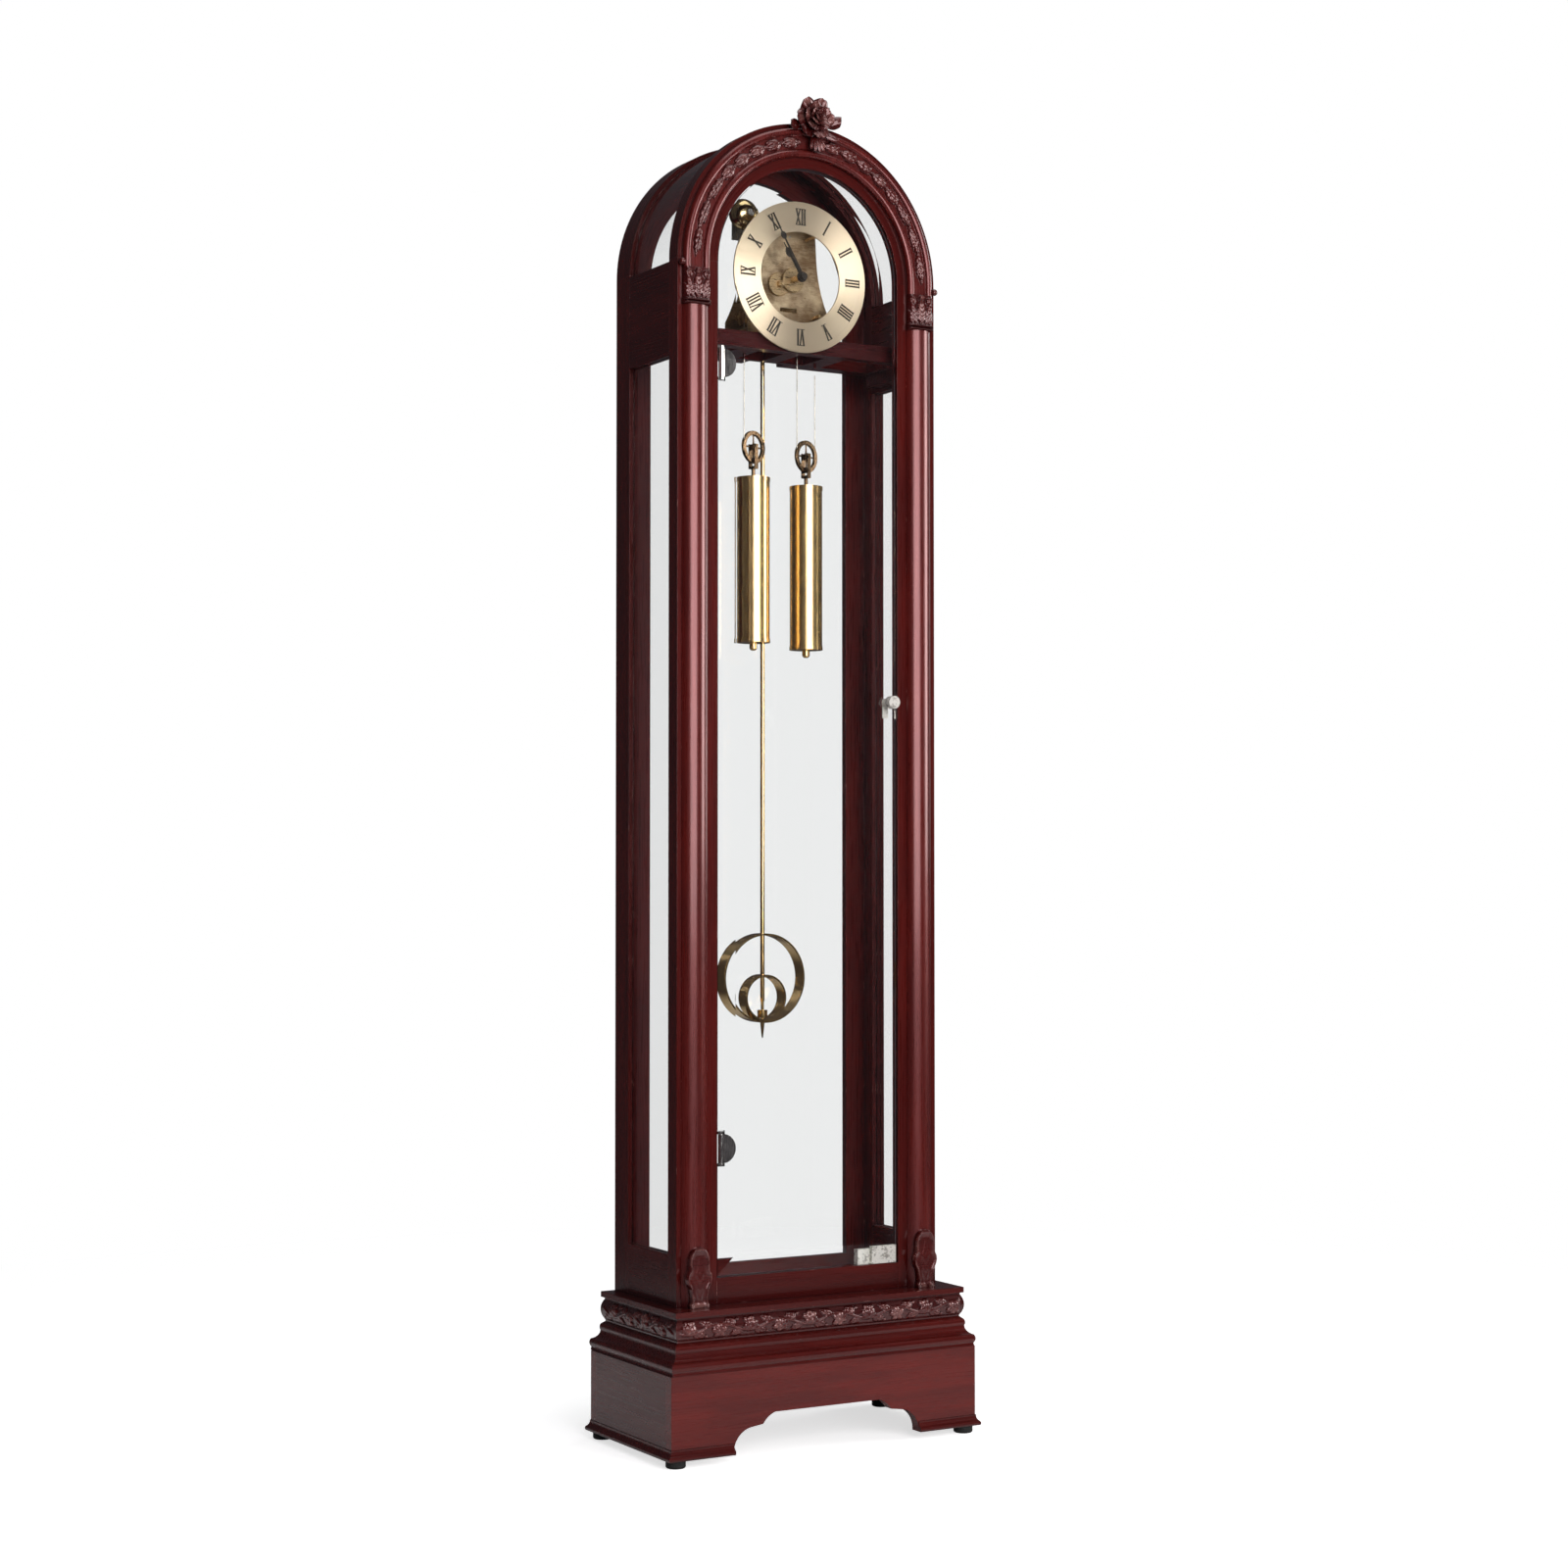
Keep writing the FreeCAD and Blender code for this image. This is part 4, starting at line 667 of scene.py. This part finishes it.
def build_garland(materials):
    """Husks near the crown, then long overlapping leaves down to the capitals."""
    radius = COLUMN_X / MM
    reach = math.pi / 2 * radius
    u, v = grid(-reach, reach, -GARLAND_HALF_WIDTH, GARLAND_HALF_WIDTH, GARLAND_STEP)
    h = np.full_like(u, GARLAND_SUNK)
    for side in (-1, 1):
        heading = 0 if side > 0 else 180
        for index in range(HUSKS):
            root = (side * math.radians(HUSK_START + HUSK_PITCH * index) * radius, 0)
            for lean, long, wide, tall in HUSK_LEAVES:
                h = np.maximum(h, leaf_height(u, v, root, heading + lean, long, wide, tall, 0, 3))
            h = np.maximum(h, bead_height(u, v, root, 3.6, 5.0))
        for start, end in LONG_LEAVES:
            length = math.radians(end - start) * radius
            root = (side * math.radians(start) * radius, 0)
            for lean, share, wide, tall in LEAF_FOLDS:
                fold = leaf_height(u, v, root, heading + side * lean, length * share, wide, tall, 4, 6)
                h = np.maximum(h, fold)

    def place(arc, across, out):
        angle = arc / radius
        r = radius + across
        y = GARLAND_HIGH.y / MM - out
        return np.stack([r * np.sin(angle), y, SPRING_Z / MM + r * np.cos(angle)], axis=-1) * MM

    marks = np.clip(h / GARLAND_RELIEF, 0, 1)
    slab = closed_slab(place(u, v, h), place(u, v, np.full_like(h, GARLAND_BACK)), marks)
    piece = carve("garland_carving", [slab], materials)
    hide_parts("arch_garland")


# ---------------------------------------------------------------- capitals
NECK_HEIGHT = 9.0
NECK_SPREAD = 1.0
LEAF_BLOCK = 8.6
CAP_HEIGHT = 7.0
CAP_LIP = 2.2
CURL_X = 15.5
CURL_DROP = 9.0
CURL_R = 6.5
CURL_PITCH = 3.4
CORNER_BALL_R = 5.2
# lean in degrees, root across the block, length, width, height and lobes of each leaf
CAPITAL_LEAVES = (
    (90, 0, 41, 21, 5.0, 4), (104, -9, 37, 15, 3.8, 4), (76, 9, 37, 15, 3.8, 4),
    (112, -15, 27, 11, 3.2, 3), (68, 15, 27, 11, 3.2, 3),
)


def front_plane(x0, face, u, v, h):
    return np.stack([x0 + u, face - h, v], axis=-1) * MM


def front_slab(x0, face, u, v, h, back, marks):
    """Closed slab that stands forward of a face in the XZ plane."""
    behind = np.full_like(h, back)
    return closed_slab(front_plane(x0, face, u, v, h), front_plane(x0, face, u, v, behind), marks)


def curl_groove(u, v, at):
    """Spiral groove that turns a round boss into a curl."""
    r = np.hypot(u - at[0], v - at[1])
    theta = np.arctan2(v - at[1], u - at[0])
    spiral = (r - 0.55 * (theta + np.pi)) / CURL_PITCH
    return np.where(r < CURL_R, 1.1 * np.clip(np.cos(2 * np.pi * spiral), 0, 1), 0.0)


def capital_leaves(u, v, bottom, top):
    """Relief of the leaf block: five leaves, two curls in its upper corners and a boss between them."""
    relief = np.zeros_like(u)
    for lean, root, long, wide, tall, lobes in CAPITAL_LEAVES:
        relief = np.maximum(relief, leaf_height(u, v, (root, bottom), lean, long, wide, tall, lobes, 6))
    for curl_u in (-CURL_X, CURL_X):
        curl_at = (curl_u, top - CURL_DROP)
        relief = np.maximum(relief, bead_height(u, v, curl_at, CURL_R, 4.2))
        relief = np.minimum(relief, 9.0) - curl_groove(u, v, curl_at)
    return np.maximum(relief, bead_height(u, v, (0, top - 5.5), 5.0, 5.0))


def capital_slabs(side):
    """Leaf block under a cap, a beaded neck below it and a small ball at its outer top corner."""
    x0 = side * COLUMN_X / MM
    face = CASE_FRONT / MM
    low, high = CAPITAL_LOW / MM, CAPITAL_HIGH / MM
    half = COLUMN_W / 2 / MM
    neck_top = low.z + NECK_HEIGHT

    u, v = grid(-half, half, neck_top - 0.5, high.z, 0.9)
    edge = np.clip((half - np.abs(u)) / 5.0, 0, 1)
    block = LEAF_BLOCK * np.sqrt(1 - (1 - edge) ** 2 * 0.75)
    cap = np.clip((v - (high.z - CAP_HEIGHT)) / 2.0, 0, 1)
    relief = capital_leaves(u, v, neck_top, high.z)
    h = np.minimum(block + cap * CAP_LIP * np.sqrt(edge) + relief, face - low.y)
    leaves = front_slab(x0, face, u, v, h, 0.0, np.clip(relief / 4.6, 0, 1))

    half += NECK_SPREAD
    u, v = grid(-half, half, low.z, neck_top, 0.75)
    edge = np.clip((half - np.abs(u)) / 6.0, 0, 1)
    bead = np.abs(np.sin((v - low.z) / NECK_HEIGHT * 2 * np.pi))
    h = (9.5 + 4.6 * bead) * np.sqrt(1 - (1 - edge) ** 2 * 0.7)
    neck = front_slab(x0, face, u, v, h, 0.0, np.clip(bead - 0.75, 0, 1))

    corner = Vector((x0 + side * (half + 2.5), face - 7.5, high.z + 7.0))
    return [leaves, neck, ball(corner, CORNER_BALL_R)]


def ball(centre, radius):
    """Closed round ball as one slab: two domes that meet at the rim."""
    s, t = np.meshgrid(np.linspace(-1, 1, 17), np.linspace(-1, 1, 17), indexing="ij")
    # square grid pulled onto a disc, so that the rim is one clean circle
    x = s * np.sqrt(1 - t ** 2 / 2)
    z = t * np.sqrt(1 - s ** 2 / 2)
    r = np.clip(np.hypot(x, z), 0, 0.999)
    y = np.sqrt(1 - r ** 2) + 0.02

    def dome(way):
        return (np.array(centre) + radius * np.stack([x, way * y, z], axis=-1)) * MM

    return closed_slab(dome(-1), dome(1), np.clip(y, 0, 1))


def build_capitals(materials):
    piece = carve("capital_carvings", capital_slabs(-1) + capital_slabs(1), materials)
    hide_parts("capitals")


# ---------------------------------------------------------------- ornaments at the foot of the columns
SHIELD_EDGE = 4.0
RIM_INSET = 2.6
RIM_WIDTH = 1.6
# outline of the shield: share of its height, and half width there
SHIELD = (
    (0.0, 16.0), (0.05, 16.5), (0.10, 14.5), (0.20, 14.5), (0.32, 16.5),
    (0.41, 20.5), (0.48, 22.0), (0.54, 21.5), (0.62, 18.0), (0.70, 17.5),
    (0.82, 17.5), (0.90, 15.0), (0.95, 11.5), (0.98, 8.0), (1.0, 3.0),
)


def build_foot_ornaments(materials):
    """Scrolled shields with a raised rim and a leaf on their field."""
    low, high = FOOT_LOW / MM, FOOT_HIGH / MM
    tall = high.z - low.z
    slabs = []
    for side in (-1, 1):
        s, t = np.meshgrid(np.linspace(-1, 1, 41), np.linspace(0, 1, 91), indexing="ij")
        half = np.interp(t, *zip(*SHIELD))
        u = s * half
        v = low.z + t * tall
        rim_distance = np.minimum((1 - np.abs(s)) * half, (1 - t) * tall * 0.8)
        edge = np.clip(rim_distance / 2.2, 0, 1)
        rim = np.exp(-((rim_distance - RIM_INSET) / RIM_WIDTH) ** 2)
        field = np.clip((rim_distance - 4.0) / 5.0, 0, 1)
        boss = leaf_height(u, v, (0, low.z + 4), 90, tall * 0.8, 17, 1.6, 3, 5)
        h = SHIELD_EDGE + 3.0 * np.sqrt(edge) + 1.6 * rim - 0.8 * field
        h = h + np.maximum(boss, 0) * field * 0.6
        foot = np.exp(-((v - low.z - 4) / 3.5) ** 2)
        h = np.minimum(h + 1.2 * foot, high.y - low.y - 0.02)
        marks = np.clip(0.42 + 0.5 * rim + 0.9 * foot, 0, 1)
        slabs.append(front_slab(side * COLUMN_X / MM, high.y, u, v, h, -0.5, marks))
    piece = carve("foot_carvings", slabs, materials)
    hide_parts("foot_ornaments")


# ---------------------------------------------------------------- crown flower
PETAL_COLUMNS = 13
PETAL_ROWS = 15
HEART_DROP = 31.0
# rings from the outside in: petals, first angle, length, width, lift, curl, thickness, rise and frill
ROSE_RINGS = (
    (6, 28, 33, 33, 7, 5, 7, 2.0, 0.8),
    (5, -10, 23, 26, 8, 9, 6, 6.0, 0.6),
    (4, 40, 14, 19, 7, 8, 5, 12.0, 0.4),
    (3, 0, 8, 12, 5, 5, 5, 19.0, 0.0),
)
# root across and below the heart, then angle, length, width, lift, curl, thickness, rise and frill
ROSE_LEAVES = (
    (26, 8, 66, 29, 19, 6, 3, 5, 1.0, 0.5),
    (-24, 14, -82, 19, 17, 4, 2, 4, 1.0, 0.5),
    (24, 22, 112, 21, 12, 4, 2, 4, 1.0, 0.5),
)
# angle, length, width and rise of each petal of the hanging bud
BUD_PETALS = ((196, 31, 9, 3), (184, 33, 9, 5), (171, 34, 9, 6), (158, 33, 9, 5), (147, 30, 9, 3))
# angle and length of the sepals over the bud's root
SEPALS = ((-160, 17), (180, 19), (160, 17))


def petal(root, angle, length, width, lift, curl, thick, rise=0.0, frill=0.0):
    """Closed petal from its root (x, out, z), pointing at an angle in degrees from up, clockwise."""
    t, s = np.meshgrid(np.linspace(0.0, 1.0, PETAL_ROWS), np.linspace(-1, 1, PETAL_COLUMNS), indexing="ij")
    half = width / 2 * (0.16 + 0.84 * np.sin(np.pi * np.clip(t * 0.93 + 0.03, 0, 1) ** 0.85) ** 0.7)
    along = length * t
    across = s * half
    out = rise + lift * np.sin(np.pi * t * 0.75) + curl * t ** 2
    out = out - 0.22 * width * (s ** 2) * np.sin(np.pi * t) + frill * np.sin(5 * s + 6 * t) * t
    out = out - 0.9 * np.exp(-(s / 0.1) ** 2) * np.sin(np.pi * t)
    turn = math.radians(angle)
    x = root[0] + along * math.sin(turn) + across * math.cos(turn)
    z = root[2] + along * math.cos(turn) - across * math.sin(turn)
    rim = np.clip(np.minimum(1 - np.abs(s), 1 - np.abs(2 * t - 1)) * 4, 0, 1)
    back_out = out - thick * (0.25 + 0.75 * rim)
    marks = np.clip(0.35 + 0.65 * t * (1 - 0.6 * s ** 2), 0, 1) * np.clip(out / 14.0 + 0.35, 0, 1)
    return x, z, root[1] + out, root[1] + back_out, marks


def rose_slab(shape):
    """Petal cut off at the sides of the rose's own box."""
    x, z, out, back_out, marks = shape
    low, high = ROSE_LOW / MM, ROSE_HIGH / MM
    x = np.clip(x, low.x, high.x)
    z = np.clip(z, low.z, high.z - 0.1)

    def points(outwards):
        return np.stack([x, high.y - np.clip(outwards, -2.0, high.y - low.y), z], axis=-1) * MM

    return closed_slab(points(out), points(back_out), marks)


def build_rose(materials):
    """Full rose with curled petals, a leaf to each side and a hanging bud."""
    heart_z = ROSE_HIGH.z / MM - HEART_DROP
    shapes = []
    for count, first, *form in ROSE_RINGS:
        for index in range(count):
            shapes.append(petal((0, 0, heart_z), first + 360 / count * index, *form))
    for across, below, *form in ROSE_LEAVES:
        shapes.append(petal((across, 1, heart_z - below), *form))
    for angle, length, width, rise in BUD_PETALS:
        shapes.append(petal((2, 0, heart_z - 19), angle, length, width, 5, 2, 5, rise))
    for angle, length in SEPALS:
        shapes.append(petal((1, 1, heart_z - 14), angle, length, 12, 5, 6, 5, 8.0))
    piece = carve("rose_carving", [rose_slab(shape) for shape in shapes], materials)
    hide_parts("crown_rose")


# ---------------------------------------------------------------- pulleys
# closed outlines of the grooved rim and the hub: radius and place along the axle
RIM_SECTION = (
    (18.9, -1.9), (19.6, -2.6), (25.0, -2.6), (25.7, -2.0), (25.4, -1.5), (20.6, -0.9),
    (20.6, 0.9), (25.4, 1.5), (25.7, 2.0), (25.0, 2.6), (19.6, 2.6), (18.9, 1.9),
)
HUB_SECTION = ((2.2, -4.0), (4.4, -4.0), (5.0, -3.4), (5.0, 3.4), (4.4, 4.0), (2.2, 4.0))
# a spoke's radius from the axle, half width and half thickness
SPOKE_SECTIONS = ((4.6, 2.2, 1.6), (8.0, 1.5, 1.2), (16.0, 1.3, 1.1), (19.3, 2.1, 1.5))
SPOKES = 4
RIM_STEPS = 96
SPOKE_STEPS = 12


def around(steps):
    """Angles of one full turn, without its end."""
    return np.linspace(0, 2 * np.pi, steps, endpoint=False)


def tube_faces(rows, columns, offset, joined):
    """Quads round a tube of rings, whose ends are joined to each other or closed with one face each."""
    index = np.arange(rows * columns).reshape(rows, columns) + offset
    step = np.roll(index, -1, axis=1)
    if joined:
        after = np.roll(index, -1, axis=0)
        return np.stack([index, step, np.roll(after, -1, axis=1), after], axis=-1).reshape(-1, 4).tolist()
    faces = np.stack([index[:-1], step[:-1], step[1:], index[1:]], axis=-1).reshape(-1, 4).tolist()
    return faces + [index[0][::-1].tolist(), index[-1].tolist()]


def build_pulley(side, materials):
    """Grooved rim, four waisted spokes and a hub with its bore."""
    body = "pulley_" + side
    low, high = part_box(body)
    centre = np.array((low + high) / 2)
    joints = {joint["name"]: joint for joint in frame["record"]["behaviour"]["joints"]}
    axis = np.array(joints[body + "_turn"]["axis"])
    axis = axis / np.linalg.norm(axis)
    up = np.array([0.0, 0.0, 1.0])
    across = np.cross(up, axis)
    points, faces = [], []

    def add(rings, joined):
        rings = np.array(rings)
        faces.extend(tube_faces(rings.shape[0], rings.shape[1], sum(map(len, points)), joined))
        points.append(rings.reshape(-1, 3))

    def radial(turn):
        return across * math.cos(turn) + up * math.sin(turn)

    for section in (RIM_SECTION, HUB_SECTION):
        add([[radial(turn) * r + axis * w for r, w in section] for turn in around(RIM_STEPS)], True)
    for turn in around(SPOKES):
        out, over = radial(turn), radial(turn + math.pi / 2)
        add([[out * r + over * half * math.cos(a) + axis * deep * math.sin(a) for a in around(SPOKE_STEPS)]
             for r, half, deep in SPOKE_SECTIONS], False)
    points = centre + np.concatenate(points) * MM
    piece = solid_piece("spoked_" + body, points, faces, materials["pulley_brass"], 40)
    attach(piece, body)
    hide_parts(body)


# ---------------------------------------------------------------- cables
CABLE_R = 0.8 * MM
CABLE_LAY = 12 * MM
STRANDS = 6
STRAND_BULGE = 0.14
CABLE_STEPS = 18


def cable_line(high, reach, axle_z, cleat_z):
    """Middle line: down from the drum (across -1), half a turn under the axle, up to the cleat (+1)."""
    line = [(-1.0, z) for z in np.linspace(high, axle_z, 150, endpoint=False)]
    for turn in np.linspace(0, math.pi, 40, endpoint=False):
        line.append((-math.cos(turn), axle_z - reach * math.sin(turn)))
    return line + [(1.0, z) for z in np.linspace(axle_z, cleat_z, 110)]


def build_cable(name, materials):
    """Six-strand cable from the drum, under the weight's pulley and up to its cleat."""
    low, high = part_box("cable_" + name)
    wheel_low, wheel_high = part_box("pulley_" + name)
    seat_low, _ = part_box("seat_board")
    centre = (low + high) / 2
    axle_z = (wheel_low.z + wheel_high.z) / 2
    reach_x = (high.x - low.x) / 2 - CABLE_R
    reach_y = (high.y - low.y) / 2 - CABLE_R
    reach = math.hypot(reach_x, reach_y)
    line = np.array([(centre.x + s * reach_x, centre.y + s * reach_y, z)
                     for s, z in cable_line(high.z, reach, axle_z, seat_low.z)])
    tangent = np.gradient(line, axis=0)
    tangent /= np.linalg.norm(tangent, axis=1)[:, None]
    sideways = np.array([-reach_y, reach_x, 0.0]) / reach
    normal = np.cross(tangent, sideways)
    run = np.concatenate([[0], np.cumsum(np.linalg.norm(np.diff(line, axis=0), axis=1))])
    twist = run / CABLE_LAY * 2 * np.pi
    ring = around(CABLE_STEPS)
    strands = np.abs(np.cos(STRANDS / 2 * (ring[None, :] - twist[:, None])))
    radius = CABLE_R * (1 - STRAND_BULGE + STRAND_BULGE * strands)
    points = (line[:, None, :] + (radius * np.cos(ring))[:, :, None] * sideways
              + (radius * np.sin(ring))[:, :, None] * normal[:, None, :])
    faces = tube_faces(len(line), CABLE_STEPS, 0, False)
    piece = solid_piece("stranded_cable_" + name, points.reshape(-1, 3), faces, materials["cable_steel"])
    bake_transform(piece)
    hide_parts("cable_" + name)


# ---------------------------------------------------------------- stage, light and camera
ROOM_SEEN = rgb(1.0, 1.0, 1.0)
ROOM_LIGHT = rgb(0.15, 0.15, 0.16)
ROOM_MIRRORED = rgb(0.05, 0.045, 0.05)
FLOOR_PALE = rgb(0.93, 0.93, 0.925)
FLOOR_GREY = rgb(0.90, 0.90, 0.895)
FLOOR_R = 14.0
FLOOR_SIDES = 96
FLOOR_GLOW = 0.66
SWEEP_R = 1.9


def build_floor():
    """Large pale disc, gently mottled, that fades into the white surround some way from the clock."""
    rim = [(FLOOR_R * math.cos(turn), FLOOR_R * math.sin(turn), 0.0) for turn in around(FLOOR_SIDES)]
    mesh = bpy.data.meshes.new("floor")
    mesh.from_pydata(rim, [], [list(range(FLOOR_SIDES))])
    shader = Shader("pale_floor", {"Roughness": 0.9, "Specular IOR Level": 0.0})
    patches = shader.noise(shader.point(), 1.3, 3.0, 0.5)
    tint = shader.mix(shader.between(patches, 0.3, 0.7), FLOOR_GREY, FLOOR_PALE)
    shader.set(shader.surface, "Base Color", tint)
    x, y, z = shader.split(shader.point())
    reach = shader.distance(x, y)
    ray = shader.ray()
    seen = shader.seen(ray)
    # polished surfaces mirror the far floor as dark as the room
    far = shader.between(reach, SWEEP_R * 0.4, SWEEP_R * 1.1)
    dark = shader.math("MULTIPLY", ray["Is Glossy Ray"], far)
    dark = shader.math("MULTIPLY", dark, shader.math("SUBTRACT", 1.0, seen))
    unlit = shader.node("ShaderNodeEmission", {"Color": ROOM_MIRRORED}).outputs[0]
    lit = shader.surface.outputs[0]
    mirrored = shader.node("ShaderNodeMixShader", {0: dark, 1: lit, 2: unlit}).outputs[0]
    # the camera sees it glow a little near the clock, and pure white further out
    strength = shader.math("MULTIPLY", seen, FLOOR_GLOW)
    glow = shader.node("ShaderNodeEmission", {"Strength": strength}).outputs[0]
    near = shader.node("ShaderNodeAddShader", {0: mirrored, 1: glow}).outputs[0]
    white = shader.node("ShaderNodeEmission", {"Color": ROOM_SEEN}).outputs[0]
    faded = shader.math("MULTIPLY", seen, shader.between(reach, SWEEP_R * 0.6, SWEEP_R * 1.3))
    whole = shader.node("ShaderNodeMixShader", {0: faded, 1: near, 2: white}).outputs[0]
    shader.set(shader.output, "Surface", whole)
    mesh.materials.append(shader.material)
    floor = bpy.data.objects.new("floor", mesh)
    bpy.context.scene.collection.objects.link(floor)


def build_world():
    """White to the camera; dim in mirrors and as light, so that the softboxes shape the gloss."""
    world = bpy.data.worlds.new("studio")
    world.use_nodes = True
    room = Nodes(world.node_tree)
    background = room.tree.nodes["Background"]
    ray = room.ray()
    surround = room.mix(ray["Is Glossy Ray"], ROOM_LIGHT, ROOM_MIRRORED)
    room.set(background, "Color", room.mix(room.seen(ray), surround, ROOM_SEEN))
    room.set(background, "Strength", 1.0)
    bpy.context.scene.world = world


# place, the point it faces, width and height, watts and tint of each softbox
SOFTBOXES = {
    "key_right": ((4.0, -1.8, 1.9), (0, 0, 1.3), (1.7, 2.0), 80, (1.0, 0.985, 0.97)),
    "front_card": ((-0.35, -4.2, 1.8), (0, 0, 1.4), (3.2, 2.2), 135, (1.0, 0.97, 0.98)),
    "fill_high": ((-0.6, -4.4, 3.8), (0, 0, 1.0), (1.6, 0.8), 10, (0.98, 0.985, 1.0)),
    "back_rim": ((3.8, 1.7, 3.0), (0, 0, 1.3), (1.6, 1.2), 18, (1.0, 1.0, 1.0)),
    "overhead": ((0.4, -0.8, 4.0), (0, 0, 1.0), (2.0, 2.0), 24, (1.0, 1.0, 1.0)),
}


def build_lights():
    for name, (place, target, size, watts, tint) in SOFTBOXES.items():
        light = bpy.data.lights.new(name, "AREA")
        light.shape = "RECTANGLE"
        light.size, light.size_y = size
        light.energy = watts
        light.color = tint
        lamp = bpy.data.objects.new(name, light)
        lamp.location = place
        lamp.rotation_euler = (Vector(target) - Vector(place)).to_track_quat("-Z", "Y").to_euler()
        bpy.context.scene.collection.objects.link(lamp)


CAMERA_PLACE = (-2.15535, -3.69483, 0.88122)
CAMERA_TILT = 91.75
CAMERA_TURN = -30.26
LENS = 62.79
SENSOR = 36.0


def build_camera():
    """Portrait lens to the clock's left, a little under half its height, tilted up slightly."""
    data = bpy.data.cameras.new("camera")
    data.lens = LENS
    data.sensor_width = SENSOR
    camera = bpy.data.objects.new("camera", data)
    camera.location = CAMERA_PLACE
    camera.rotation_euler = (math.radians(CAMERA_TILT), 0.0, math.radians(CAMERA_TURN))
    bpy.context.scene.collection.objects.link(camera)
    bpy.context.scene.camera = camera


bpy.context.scene.view_settings.view_transform = "Standard"
build_camera()
build_world()
build_lights()
build_floor()
materials = make_materials()
dress_cad_nodes(materials)
build_frieze(materials)
build_garland(materials)
build_capitals(materials)
build_foot_ornaments(materials)
build_rose(materials)
for side in ("left", "right"):
    build_pulley(side, materials)
    build_cable(side, materials)
